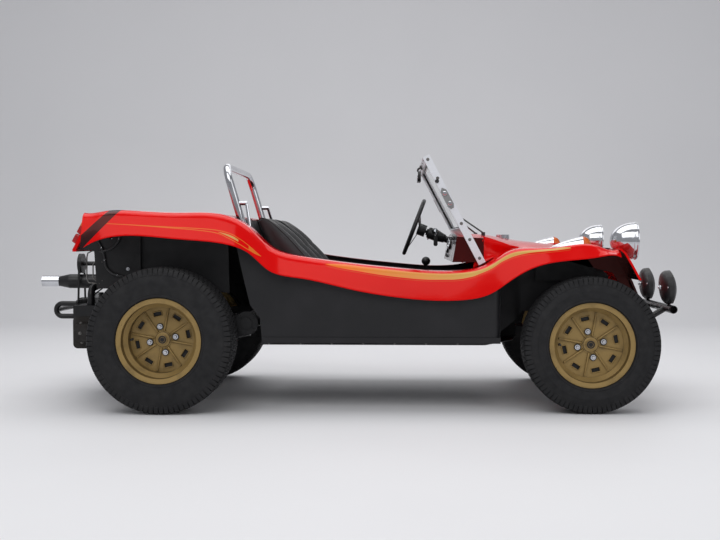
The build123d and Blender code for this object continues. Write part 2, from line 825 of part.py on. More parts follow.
def make_seat(name, side):
    """Reclined bucket seat: a thin shell between two raised bolsters."""
    x0 = REAR_X
    floor = PAN_BOTTOM + PAN_THICKNESS + SEAT_GAP
    bolster = (
        (x0 + 430, 962), (x0 + 480, 968), (x0 + 600, 905), (x0 + 752, 753), (x0 + 900, 560),
        (x0 + 1180, 520), (x0 + 1190, floor), (x0 + 730, floor),
    )
    trough = (
        (x0 + 470, 1010), (x0 + 510, 960), (x0 + 800, 490), (x0 + 1250, 470), (x0 + 1250, 1010),
    )
    with BuildPart() as seat:
        with BuildSketch(Plane.XZ.offset(-side * SEAT_Y)):
            with BuildLine():
                FilletPolyline(*bolster, radius=[18, 25, 60, 60, 60, 25, 25, 60], close=True)
            make_face()
        extrude(amount=SEAT_HALF_WIDTH, both=True)
        with BuildSketch(Plane.XZ.offset(-side * SEAT_Y)):
            with BuildLine():
                FilletPolyline(*trough, radius=[1, 20, 90, 1, 1], close=True)
            make_face()
        extrude(amount=SEAT_HALF_WIDTH - BOLSTER, both=True, mode=Mode.SUBTRACT)
    finish(seat, name)


def make_steering_wheel():
    """Three-spoke dished steering wheel with its hub and stub shaft."""
    middle = column_plane(0)
    section_plane = Plane(origin=middle.origin, x_dir=(0, 1, 0), z_dir=-middle.y_dir)
    turn = Axis(middle.origin, middle.z_dir)
    with BuildPart() as spokes:
        with BuildSketch(section_plane):
            with BuildLine():
                Polyline(
                    (HUB_RADIUS - 6, WHEEL_DISH), (HUB_RADIUS - 6, WHEEL_DISH + 4),
                    (STEERING_WHEEL_RADIUS, 2), (STEERING_WHEEL_RADIUS, -2), close=True,
                )
            make_face()
        revolve(axis=turn)
        with BuildSketch(column_plane(-20)):
            with PolarLocations(STEERING_WHEEL_RADIUS / 2, 3, start_angle=-90):
                Rectangle(STEERING_WHEEL_RADIUS, SPOKE_WIDTH)
        extrude(amount=WHEEL_DISH + 60, mode=Mode.INTERSECT)
    with BuildPart() as steering_wheel:
        with BuildSketch(section_plane):
            with Locations((STEERING_WHEEL_RADIUS, 0)):
                Circle(STEERING_RIM_RADIUS)
        revolve(axis=turn)
        add(spokes.part)
        with BuildSketch(column_plane(WHEEL_DISH - 6)):
            Circle(HUB_RADIUS)
        extrude(amount=HUB_DEPTH)
        with BuildSketch(column_plane(WHEEL_DISH + HUB_DEPTH - 8)):
            Circle(SHAFT_RADIUS)
        extrude(amount=SHAFT_ENGAGEMENT)
    finish(steering_wheel, "steering_wheel")


def make_steering_column():
    """Column tube with its shaft down to the steering box on the front beam."""
    with BuildPart() as steering_column:
        with BuildSketch(column_plane(COLUMN_START)):
            Circle(COLUMN_RADIUS)
        extrude(amount=430 - COLUMN_START)
        with BuildSketch(column_plane(COLUMN_START)):
            Circle(SHAFT_RADIUS + RUNNING_GAP)
        extrude(amount=SHAFT_ENGAGEMENT, mode=Mode.SUBTRACT)
        with BuildSketch(column_plane(430)):
            Circle(SHAFT_RADIUS)
        extrude(amount=540)
        with BuildSketch(column_plane(966)):
            Circle(30)
        extrude(amount=100)
        with BuildSketch(Plane.XY.offset(ARM_TOP + 14)):
            with Locations((FRONT_X + PITMAN_AHEAD, PITMAN_Y)):
                Circle(26)
        extrude(amount=130)
        with BuildSketch(Plane.XY.offset(ARM_TOP + 80)):
            with Locations((FRONT_X + PITMAN_AHEAD, PITMAN_Y)):
                Rectangle(60, 90, align=(Align.MIN, Align.MIN))
        extrude(amount=60)
        with BuildSketch(Plane.XZ.offset(-STEER_Y + 15)):
            with Locations((FRONT_X + BEAM_AHEAD, BEAM_UPPER + BEAM_RADIUS + SEAT_GAP)):
                Rectangle(70, 80, align=(Align.CENTER, Align.MIN))
        extrude(amount=-30)
        with BuildSketch(Plane.XY.offset(ARM_TOP)):
            with Locations((FRONT_X + PITMAN_AHEAD, PITMAN_Y)):
                Circle(12 + RUNNING_GAP)
        extrude(amount=70, mode=Mode.SUBTRACT)
    finish(steering_column, "steering_column")


def make_pitman_arm():
    """Drop arm of the steering box with the studs of both tie rods."""
    with BuildPart() as pitman_arm:
        with BuildSketch(Plane.XY.offset(ARM_TOP - ARM_THICKNESS)):
            with Locations((FRONT_X + PITMAN_AHEAD, PITMAN_Y)):
                Circle(20)
                with Locations((-STEERING_ARM / 2, 0)):
                    Rectangle(STEERING_ARM, 24)
                with Locations((-STEERING_ARM, 0)):
                    SlotCenterToCenter(2 * STUD_SPREAD, 26, rotation=90)
        extrude(amount=ARM_THICKNESS)
        with BuildSketch(Plane.XY.offset(ARM_TOP)):
            with Locations((FRONT_X + PITMAN_AHEAD, PITMAN_Y)):
                Circle(12)
        extrude(amount=60)
        with BuildSketch(Plane.XY.offset(ARM_TOP)):
            with Locations((FRONT_X + PITMAN_AHEAD - STEERING_ARM, PITMAN_Y)):
                with Locations((0, STUD_SPREAD), (0, -STUD_SPREAD)):
                    Circle(STUD_RADIUS)
        extrude(amount=ROD_HEIGHT + ROD_EYE_HEIGHT / 2 - ARM_TOP)
    finish(pitman_arm, "pitman_arm")


def make_tie_rod(name, side):
    """Tie rod from the drop arm to one steering knuckle."""
    inner = Vector(FRONT_X + PITMAN_AHEAD - STEERING_ARM, PITMAN_Y + side * STUD_SPREAD, ROD_HEIGHT)
    outer = Vector(FRONT_X - STEERING_ARM, side * (KINGPIN_Y + STUD_SPREAD), ROD_HEIGHT)
    with BuildPart() as tie_rod:
        with BuildSketch(Plane(origin=inner, z_dir=outer - inner)):
            Circle(ROD_RADIUS)
        extrude(amount=(outer - inner).length)
        for end in (inner, outer):
            with BuildSketch(Plane(origin=end - Vector(0, 0, ROD_EYE_HEIGHT / 2))):
                Circle(ROD_EYE_RADIUS)
            extrude(amount=ROD_EYE_HEIGHT)
        for end in (inner, outer):
            with BuildSketch(Plane(origin=end - Vector(0, 0, ROD_EYE_HEIGHT / 2))):
                Circle(STUD_RADIUS + RUNNING_GAP)
            extrude(amount=ROD_EYE_HEIGHT, mode=Mode.SUBTRACT)
    finish(tie_rod, name)


def make_front_beam():
    """Twin-tube front beam with its damper towers."""
    with BuildPart() as front_beam:
        for height in (BEAM_LOWER, BEAM_UPPER):
            with BuildSketch(Plane.XZ.offset(BEAM_HALF_WIDTH)):
                with Locations((FRONT_X + BEAM_AHEAD, height)):
                    Circle(BEAM_RADIUS)
            extrude(amount=-2 * BEAM_HALF_WIDTH)
        for _, side in SIDES:
            with BuildSketch(Plane.XZ.offset(-side * (BEAM_HALF_WIDTH - 20))):
                with BuildLine():
                    FilletPolyline(
                        (FRONT_X + BEAM_AHEAD - 42, BEAM_LOWER - 42),
                        (FRONT_X + BEAM_AHEAD + 42, BEAM_LOWER - 42),
                        (FRONT_X + BEAM_AHEAD + 30, BEAM_UPPER + 190),
                        (FRONT_X + BEAM_AHEAD - 30, BEAM_UPPER + 190),
                        radius=12, close=True,
                    )
                make_face()
            extrude(amount=side * 12)
    finish(front_beam, "front_beam")


def make_front_arms(name, side):
    """Upper and lower trailing arms with the king pin's boss and its damper."""
    pin_half = BOSS_HALF + SWIVEL_GAP + KNUCKLE_EYE_HEIGHT
    inner = BEAM_HALF_WIDTH + SEAT_GAP
    with BuildPart() as arms:
        for height in (BEAM_LOWER, BEAM_UPPER):
            with BuildSketch(Plane.XZ.offset(-side * inner)):
                with Locations((FRONT_X + BEAM_AHEAD / 2, height)):
                    SlotCenterToCenter(BEAM_AHEAD, 44)
            extrude(amount=-side * ARM_WIDTH)
        with BuildSketch(Plane.XZ.offset(-side * inner)):
            with Locations((FRONT_X, AXLE_HEIGHT)):
                Rectangle(28, BEAM_UPPER - BEAM_LOWER)
        extrude(amount=-side * (KINGPIN_Y - 31 - inner))
        with BuildSketch(Plane.XY.offset(AXLE_HEIGHT - BOSS_HALF)):
            with Locations((FRONT_X, side * KINGPIN_Y)):
                Circle(KNUCKLE_EYE)
            with Locations((FRONT_X, side * (KINGPIN_Y - 22))):
                Rectangle(28, 40)
        extrude(amount=2 * BOSS_HALF)
        with BuildSketch(Plane.XY.offset(AXLE_HEIGHT - pin_half)):
            with Locations((FRONT_X, side * KINGPIN_Y)):
                Circle(KINGPIN_RADIUS)
        extrude(amount=2 * pin_half)
    finish(arms, f"front_arms_{name}")


def make_knuckle(name, side):
    """Forked steering knuckle with its spindle, arm and brake back plate."""
    drum_inner = FRONT_HALF_TRACK + FRONT_RIM_WIDTH / 2 - FRONT_DISH - DISC_THICKNESS - DRUM_DEPTH
    eye_low = AXLE_HEIGHT - BOSS_HALF - SWIVEL_GAP - KNUCKLE_EYE_HEIGHT
    eye_high = AXLE_HEIGHT + BOSS_HALF + SWIVEL_GAP
    back = KINGPIN_Y + KNUCKLE_BACK
    with BuildPart() as knuckle:
        for level in (eye_low, eye_high):
            with BuildSketch(Plane.XY.offset(level)):
                with Locations((FRONT_X, side * KINGPIN_Y)):
                    Circle(KNUCKLE_EYE)
                with Locations((FRONT_X, side * (KINGPIN_Y + KNUCKLE_BACK / 2 + 2))):
                    Rectangle(34, KNUCKLE_BACK + 4)
            extrude(amount=KNUCKLE_EYE_HEIGHT)
        with BuildSketch(Plane.XZ.offset(-side * back)):
            with Locations((FRONT_X, AXLE_HEIGHT)):
                Rectangle(44, eye_high + KNUCKLE_EYE_HEIGHT - eye_low)
        extrude(amount=-side * KNUCKLE_PLATE)
        with BuildSketch(Plane.XZ.offset(-side * (back + KNUCKLE_PLATE))):
            with Locations((FRONT_X, AXLE_HEIGHT)):
                Circle(30)
        extrude(amount=-side * (drum_inner - 13 - back - KNUCKLE_PLATE))
        with BuildSketch(Plane.XZ.offset(-side * (drum_inner - 13))):
            with Locations((FRONT_X, AXLE_HEIGHT)):
                Circle(DRUM_RADIUS - 2)
        extrude(amount=-side * 6)
        with BuildSketch(Plane.XZ.offset(-side * (drum_inner - 8))):
            with Locations((FRONT_X, AXLE_HEIGHT)):
                Circle(SPINDLE_RADIUS)
        extrude(amount=-side * (SPINDLE_ENGAGEMENT + 6))
        with BuildSketch(Plane.XY.offset(ARM_TOP - ARM_THICKNESS)):
            with BuildLine():
                Polyline(
                    (FRONT_X, side * (KINGPIN_Y - 12)), (FRONT_X, side * (KINGPIN_Y + 20)),
                    (FRONT_X - STEERING_ARM, side * (KINGPIN_Y + STUD_SPREAD + 12)),
                    (FRONT_X - STEERING_ARM, side * (KINGPIN_Y + STUD_SPREAD - 12)), close=True,
                )
            make_face()
            with Locations((FRONT_X - STEERING_ARM, side * (KINGPIN_Y + STUD_SPREAD))):
                Circle(13)
        extrude(amount=ARM_THICKNESS)
        with BuildSketch(Plane.XY.offset(ARM_TOP)):
            with Locations((FRONT_X - STEERING_ARM, side * (KINGPIN_Y + STUD_SPREAD))):
                Circle(STUD_RADIUS)
        extrude(amount=ROD_HEIGHT + ROD_EYE_HEIGHT / 2 - ARM_TOP)
        with BuildSketch(Plane.XY.offset(eye_low)):
            with Locations((FRONT_X, side * KINGPIN_Y)):
                Circle(KINGPIN_RADIUS + RUNNING_GAP)
        extrude(amount=ARM_TOP + ARM_THICKNESS - eye_low, mode=Mode.SUBTRACT)
    finish(knuckle, f"knuckle_{name}")


def wheel_profile_plane(x, y, height, side):
    """Half-plane of a wheel's section: first axis outboard, second axis upward."""
    return Plane(origin=(x, y, height), x_dir=(0, side, 0), z_dir=(side, 0, 0))


def wheel_face_plane(x, y, height, side, out):
    """Plane across a wheel's axle, at a distance outboard of its middle."""
    return Plane(origin=(x, y, height), x_dir=(1, 0, 0), z_dir=(0, side, 0)).offset(out)


def make_rim(name, side, x, height, half_track, rim_width, dish):
    """Deep-dished wheel with eight slots, eight ribs and four bolts, and its drum."""
    centre = (x, side * half_track, height)
    axle = Axis(centre, (0, 1, 0))
    half = rim_width / 2
    face = half - dish
    with BuildPart() as rim:
        with BuildSketch(wheel_profile_plane(*centre, side)):
            with BuildLine():
                outside = (
                    (half, RIM_RADIUS), (half - 8, RIM_RADIUS), (half - 10, BEAD_RADIUS),
                    (half - 42, BEAD_RADIUS - 2), (half - 62, WELL_RADIUS),
                    (-half + 58, WELL_RADIUS), (-half + 38, BEAD_RADIUS - 2),
                    (-half + 10, BEAD_RADIUS), (-half + 8, RIM_RADIUS), (-half, RIM_RADIUS),
                )
                inside = (
                    (-half, RIM_RADIUS - 6), (-half + 4, BEAD_RADIUS - RIM_WALL),
                    (-half + 40, BEAD_RADIUS - 2 - RIM_WALL), (-half + 60, WELL_RADIUS - RIM_WALL),
                    (half - 64, WELL_RADIUS - RIM_WALL), (half - 44, BEAD_RADIUS - 2 - RIM_WALL),
                    (half - 4, BEAD_RADIUS - RIM_WALL), (half, RIM_RADIUS - 6),
                )
                Polyline(*outside, *inside, close=True)
            make_face()
        revolve(axis=axle)
        with BuildSketch(wheel_face_plane(*centre, side, face - DISC_THICKNESS)):
            Circle(WELL_RADIUS - RIM_WALL / 2)
            with PolarLocations(SLOT_CIRCLE, SLOT_COUNT, start_angle=12):
                Rectangle(SLOT_WIDTH, SLOT_LENGTH, mode=Mode.SUBTRACT)
        extrude(amount=DISC_THICKNESS)
        rib_middle = (HUB_BOSS_RADIUS + WELL_RADIUS - 14) / 2
        with BuildSketch(wheel_face_plane(*centre, side, face)):
            with PolarLocations(rib_middle, SLOT_COUNT, start_angle=12 + 180 / SLOT_COUNT):
                Rectangle(WELL_RADIUS - 10 - HUB_BOSS_RADIUS, RIB_WIDTH)
            Circle(HUB_BOSS_RADIUS)
            with PolarLocations(LUG_CIRCLE, LUG_COUNT, start_angle=12):
                Circle(LUG_RADIUS)
        extrude(amount=RIB_HEIGHT)
        with BuildSketch(wheel_face_plane(*centre, side, face + RIB_HEIGHT)):
            Circle(CAP_RADIUS)
        extrude(amount=CAP_HEIGHT)
    finish(rim, f"rim_{name}")

    drum_back = face - DISC_THICKNESS - DRUM_DEPTH
    with BuildPart() as drum:
        with BuildSketch(wheel_face_plane(*centre, side, drum_back)):
            Circle(DRUM_RADIUS)
        extrude(amount=DRUM_DEPTH)
        with BuildSketch(wheel_face_plane(*centre, side, drum_back)):
            Circle(SPINDLE_RADIUS + RUNNING_GAP)
        extrude(amount=SPINDLE_ENGAGEMENT, mode=Mode.SUBTRACT)
    finish(drum, f"brake_drum_{name}")


def make_tyre(name, side, x, radius, half_track, tyre_width, rim_width):
    """Hollow tyre with rounded shoulders, its beads on the rim."""
    centre = (x, side * half_track, radius)
    bead = rim_width / 2 - 10 - SEAT_GAP
    half = tyre_width / 2
    base = BEAD_RADIUS + SEAT_GAP
    bulge = (radius + BEAD_RADIUS) / 2
    wall = TYRE_WALL
    with BuildPart() as tyre:
        with BuildSketch(wheel_profile_plane(*centre, side)):
            with BuildLine():
                for sign in (1, -1):
                    Line((sign * bead, base), (sign * bead, RIM_RADIUS + 1))
                    ThreePointArc(
                        (sign * bead, RIM_RADIUS + 1), (sign * half, bulge),
                        (sign * (half - 16), radius - 26),
                    )
                    ThreePointArc(
                        (sign * (half - 16), radius - 26), (sign * (half - 24), radius - 12),
                        (sign * (half - 38), radius - 5),
                    )
                    Line((sign * bead, base), (sign * (bead - wall), base))
                    Line((sign * (bead - wall), base), (sign * (bead - wall), RIM_RADIUS + 1))
                    ThreePointArc(
                        (sign * (bead - wall), RIM_RADIUS + 1), (sign * (half - wall), bulge),
                        (sign * (half - 36), radius - 26),
                    )
                ThreePointArc((half - 38, radius - 5), (0, radius), (38 - half, radius - 5))
                ThreePointArc((half - 36, radius - 26), (0, radius - 18), (36 - half, radius - 26))
            make_face()
        revolve(axis=Axis(centre, (0, 1, 0)))
    finish(tyre, f"tyre_{name}")


def make_torsion_housing():
    """Cross tube of the rear torsion bars with the forked engine carrier."""
    with BuildPart() as torsion_housing:
        with BuildSketch(Plane.XZ.offset(TORSION_HALF_WIDTH)):
            with Locations((REAR_X + TORSION_AHEAD, TORSION_HEIGHT)):
                Circle(TORSION_RADIUS)
        extrude(amount=-2 * TORSION_HALF_WIDTH)
        for _, side in SIDES:
            with BuildSketch(Plane.XZ.offset(-side * 156)):
                with BuildLine():
                    Polyline(
                        (REAR_X + TORSION_AHEAD + 20, TORSION_HEIGHT), (REAR_X + 240, 270),
                        (REAR_X + ENGINE_FRONT, 258), (REAR_X + ENGINE_FRONT, 300),
                        (REAR_X + 215, 312), (REAR_X + TORSION_AHEAD - 20, TORSION_HEIGHT + 20),
                        close=True,
                    )
                make_face()
            extrude(amount=-side * 36)
        with BuildSketch(Plane.YZ.offset(REAR_X + ENGINE_FRONT)):
            with Locations((0, CRANK_HEIGHT - 105 - SEAT_GAP)):
                Rectangle(384, 30, align=(Align.CENTER, Align.MAX))
        extrude(amount=40)
    finish(torsion_housing, "torsion_housing")


def make_trailing_arms():
    """Spring plates with their torsion covers, hub carriers and spindles."""
    hub_inner = REAR_HALF_TRACK + REAR_RIM_WIDTH / 2 - REAR_DISH - DISC_THICKNESS - DRUM_DEPTH
    arm_y = TORSION_HALF_WIDTH + SEAT_GAP
    cover = (REAR_X + TORSION_AHEAD, TORSION_HEIGHT)
    with BuildPart() as trailing_arms:
        for _, side in SIDES:
            with BuildSketch(Plane.XZ.offset(-side * arm_y)):
                with BuildLine():
                    FilletPolyline(
                        (REAR_X + TORSION_AHEAD + 50, TORSION_HEIGHT + 55),
                        (REAR_X - 55, REAR_TYRE_RADIUS + 60), (REAR_X - 55, REAR_TYRE_RADIUS - 60),
                        (REAR_X + TORSION_AHEAD + 50, TORSION_HEIGHT - 55),
                        radius=[45, 25, 25, 45], close=True,
                    )
                make_face()
            extrude(amount=-side * SPRING_PLATE)
            with BuildSketch(Plane.XZ.offset(-side * (arm_y + SPRING_PLATE))):
                with Locations((REAR_X, REAR_TYRE_RADIUS)):
                    Circle(50)
                with Locations(cover):
                    Circle(TORSION_COVER_RADIUS)
            extrude(amount=-side * 20)
            with BuildSketch(Plane.XZ.offset(-side * (arm_y + SPRING_PLATE + 20))):
                with Locations(cover):
                    Circle(TORSION_COVER_RADIUS / 2)
                    with PolarLocations(TORSION_COVER_RADIUS - 11, 4, start_angle=45):
                        RegularPolygon(8, 6)
            extrude(amount=-side * 7)
            with BuildSketch(Plane.XZ.offset(-side * (arm_y + SPRING_PLATE + 20))):
                with Locations((REAR_X, REAR_TYRE_RADIUS)):
                    Circle(40)
            extrude(amount=-side * (hub_inner - 13 - arm_y - SPRING_PLATE - 20))
            with BuildSketch(Plane.XZ.offset(-side * (hub_inner - 13))):
                with Locations((REAR_X, REAR_TYRE_RADIUS)):
                    Circle(DRUM_RADIUS - 2)
            extrude(amount=-side * 6)
            with BuildSketch(Plane.XZ.offset(-side * (hub_inner - 8))):
                with Locations((REAR_X, REAR_TYRE_RADIUS)):
                    Circle(SPINDLE_RADIUS)
            extrude(amount=-side * (SPINDLE_ENGAGEMENT + 6))
    finish(trailing_arms, "trailing_arms")


def make_gearbox():
    """Gearbox and final drive with its two axle tubes."""
    reach = TORSION_HALF_WIDTH
    with BuildPart() as gearbox:
        with BuildSketch(Plane.YZ.offset(REAR_X + 340)):
            with Locations((0, CRANK_HEIGHT)):
                Circle(55)
        with BuildSketch(Plane.YZ.offset(REAR_X + 90)):
            with Locations((0, CRANK_HEIGHT)):
                Circle(95)
        with BuildSketch(Plane.YZ.offset(REAR_X - 90)):
            with Locations((0, CRANK_HEIGHT)):
                Circle(105)
        with BuildSketch(Plane.YZ.offset(REAR_X + ENGINE_FRONT + SEAT_GAP)):
            with Locations((0, CRANK_HEIGHT)):
                Circle(105)
        loft(ruled=True)
        with BuildSketch(Plane.XZ.offset(reach)):
            with Locations((REAR_X, REAR_TYRE_RADIUS)):
                Circle(AXLE_TUBE_RADIUS)
        extrude(amount=-2 * reach)
        with BuildSketch(Plane.XZ.offset(150)):
            with Locations((REAR_X, REAR_TYRE_RADIUS)):
                Circle(100)
        extrude(amount=-300)
    finish(gearbox, "gearbox")


def grooved_pulley(height, radius):
    """Pulley in the belt's plane, its groove between two flanges."""
    groove_rear = PULLEY_REAR + (PULLEY_THICKNESS - GROOVE_WIDTH) / 2
    with BuildPart() as pulley:
        with BuildSketch(Plane.YZ.offset(PULLEY_REAR)):
            with Locations((0, height)):
                Circle(radius)
        extrude(amount=PULLEY_THICKNESS)
        with BuildSketch(Plane.YZ.offset(groove_rear)):
            with Locations((0, height)):
                Circle(radius + 1)
                Circle(radius - GROOVE_DEPTH, mode=Mode.SUBTRACT)
        extrude(amount=GROOVE_WIDTH, mode=Mode.SUBTRACT)
    return pulley.part


def make_engine_case():
    """Crankcase with its pulley and, on top, the distributor."""
    with BuildPart() as engine_case:
        with BuildSketch(Plane.YZ.offset(REAR_X + ENGINE_REAR)):
            with Locations((0, CRANK_HEIGHT)):
                RectangleRounded(2 * CASE_HALF_WIDTH, CASE_HEIGHT, 40)
        extrude(amount=ENGINE_LENGTH)
        with BuildSketch(Plane.YZ.offset(PULLEY_REAR)):
            with Locations((0, CRANK_HEIGHT)):
                Circle(CRANK_NOSE_RADIUS)
        extrude(amount=REAR_X + ENGINE_REAR - PULLEY_REAR)
        add(grooved_pulley(CRANK_HEIGHT, CRANK_PULLEY_RADIUS))
        with BuildSketch(Plane.XY.offset(CASE_TOP - 5)):
            with Locations((DISTRIBUTOR_X, DISTRIBUTOR_Y)):
                Circle(DISTRIBUTOR_RADIUS)
        extrude(amount=50)
        with BuildSketch(Plane.XY.offset(CASE_TOP + 45)):
            with Locations((DISTRIBUTOR_X, DISTRIBUTOR_Y)):
                Circle(DISTRIBUTOR_RADIUS + 10)
        extrude(amount=28, taper=12)
    finish(engine_case, "engine_case")


def make_cylinders():
    """Finned cylinders with pushrod tubes, heads and rocker covers on both sides."""
    inner = CASE_HALF_WIDTH + SEAT_GAP
    pitch = (CYLINDER_OUT - CASE_HALF_WIDTH) / FIN_COUNT
    head_middle = (REAR_X + (ENGINE_FRONT + ENGINE_REAR) / 2, HEAD_TOP - HEAD_DEPTH / 2)
    with BuildPart() as cylinders:
        for _, side in SIDES:
            for middle in CYLINDER_PLACES:
                with BuildSketch(Plane.XZ.offset(-side * inner)):
                    with Locations((middle, CRANK_HEIGHT)):
                        Circle(CYLINDER_RADIUS)
                    for turn in (-0.5, 0.5):
                        with Locations((middle + turn * PUSHROD_TUBE_PITCH,
                                        CRANK_HEIGHT - PUSHROD_TUBE_DROP)):
                            Circle(PUSHROD_TUBE_RADIUS)
                extrude(amount=-side * (CYLINDER_OUT - CASE_HALF_WIDTH))
                for index in range(FIN_COUNT):
                    with BuildSketch(Plane.XZ.offset(-side * (inner + pitch * (index + 0.5)))):
                        with Locations((middle, CRANK_HEIGHT)):
                            Circle(FIN_RADIUS)
                    extrude(amount=-side * FIN_THICKNESS)
            with BuildSketch(Plane.XZ.offset(-side * CYLINDER_OUT)):
                with Locations(head_middle):
                    RectangleRounded(HEAD_LENGTH, HEAD_DEPTH, 25)
            extrude(amount=-side * (HEAD_OUT - CYLINDER_OUT))
            with BuildSketch(Plane.XZ.offset(-side * HEAD_OUT)):
                with Locations(head_middle):
                    RectangleRounded(HEAD_LENGTH - 20, ROCKER_COVER_HEIGHT, 30)
            extrude(amount=-side * ROCKER_COVER_DEPTH, taper=12)
    finish(cylinders, "cylinders")


def cylinder_tin(side):
    """Shallow inverted tray over one bank, open below and where the exhaust leaves."""
    rear = REAR_X + ENGINE_REAR + 12
    length = ENGINE_LENGTH - 24
    top = HOUSING_FOOT + TIN_WALL
    foot = HEAD_TOP + SEAT_GAP
    middle = side * (TIN_INNER + TIN_OUTER) / 2
    width = TIN_OUTER - TIN_INNER
    with BuildPart() as tin:
        with BuildSketch(Plane.XY.offset(foot)):
            with Locations((rear + length / 2, middle)):
                Rectangle(length, width)
        extrude(amount=top - foot)
        with BuildSketch(Plane.XY.offset(foot)):
            with Locations((rear + length / 2, middle)):
                Rectangle(length - 2 * TIN_WALL, width - 2 * TIN_WALL)
        extrude(amount=HOUSING_FOOT - foot, mode=Mode.SUBTRACT)
        with BuildSketch(Plane.XY.offset(HOUSING_FOOT - 1)):
            with Locations((HEADER_X, side * HEADER_Y)):
                Circle(HEADER_RADIUS + TIN_WALL)
            with Locations((MANIFOLD_X, side * MANIFOLD_Y)):
                Circle(MANIFOLD_RADIUS + 1)
        extrude(amount=TIN_WALL + 2, mode=Mode.SUBTRACT)
    return tin.part


def make_fan_housing():
    """Cooling fan housing across the engine, with the tins over its cylinders."""
    half = HOUSING_HALF_WIDTH
    with BuildPart() as fan_housing:
        with BuildSketch(Plane.YZ.offset(HOUSING_REAR)):
            with BuildLine():
                FilletPolyline(
                    (-half, HOUSING_FOOT), (-half, 640), (-180, HOUSING_TOP),
                    (180, HOUSING_TOP), (half, 640), (half, HOUSING_FOOT),
                    radius=[5, 90, 120, 120, 90, 5], close=True,
                )
            make_face()
        extrude(amount=HOUSING_DEPTH)
        with BuildSketch(Plane.YZ.offset(HOUSING_REAR)):
            with Locations((0, CASE_TOP + SEAT_GAP)):
                Rectangle(200, HOUSING_FOOT - CASE_TOP + 10, align=(Align.CENTER, Align.MIN))
        extrude(amount=HOUSING_DEPTH)
        with BuildSketch(Plane.YZ.offset(HOUSING_REAR + HOUSING_DEPTH)):
            with Locations((0, GENERATOR_HEIGHT)):
                Circle(FAN_INLET_RADIUS + 8)
        extrude(amount=10)
        with BuildSketch(Plane.YZ.offset(HOUSING_REAR + HOUSING_DEPTH + 10)):
            with Locations((0, GENERATOR_HEIGHT)):
                Circle(FAN_INLET_RADIUS)
                Circle(FAN_INLET_RADIUS / 3, mode=Mode.SUBTRACT)
        extrude(amount=-FAN_INLET_DEPTH, mode=Mode.SUBTRACT)
        for _, side in SIDES:
            add(cylinder_tin(side))
    finish(fan_housing, "fan_housing")


def belt_loop():
    """V-belt round both pulleys."""
    around_crank = CRANK_PULLEY_RADIUS - GROOVE_DEPTH + SEAT_GAP
    around_generator = GENERATOR_PULLEY_RADIUS - GROOVE_DEPTH - SEAT_GAP
    plane = Plane.YZ.offset(PULLEY_REAR + (PULLEY_THICKNESS - BELT_WIDTH) / 2)
    with BuildPart() as belt:
        for thickness, mode in ((BELT_THICKNESS, Mode.ADD), (0, Mode.SUBTRACT)):
            with BuildSketch(plane):
                with Locations((0, CRANK_HEIGHT)):
                    Circle(around_crank + thickness)
                with Locations((0, GENERATOR_HEIGHT)):
                    Circle(around_generator + thickness)
                make_hull()
            extrude(amount=BELT_WIDTH, mode=mode)
    return belt.part


def make_generator():
    """Generator on its stand, with its pulley and the belt."""
    front = HOUSING_REAR - SEAT_GAP
    with BuildPart() as generator:
        with BuildSketch(Plane.YZ.offset(front)):
            with Locations((0, GENERATOR_HEIGHT)):
                Circle(GENERATOR_RADIUS)
        extrude(amount=-GENERATOR_LENGTH)
        with BuildSketch(Plane.YZ.offset(front - GENERATOR_LENGTH)):
            with Locations((0, GENERATOR_HEIGHT)):
                Circle(GENERATOR_SHAFT_RADIUS)
        extrude(amount=PULLEY_REAR - front + GENERATOR_LENGTH)
        add(belt_loop())
        add(grooved_pulley(GENERATOR_HEIGHT, GENERATOR_PULLEY_RADIUS))
        with BuildSketch(Plane.XY.offset(CASE_TOP + SEAT_GAP)):
            with Locations((STAND_REAR, 0)):
                Rectangle(STAND_DEPTH, STAND_WIDTH, align=(Align.MIN, Align.CENTER))
        with BuildSketch(Plane.XY.offset(GENERATOR_HEIGHT - GENERATOR_RADIUS + 12)):
            with Locations((STAND_REAR, 0)):
                Rectangle(STAND_DEPTH, STAND_WIDTH - 30, align=(Align.MIN, Align.CENTER))
        loft()
    finish(generator, "generator")


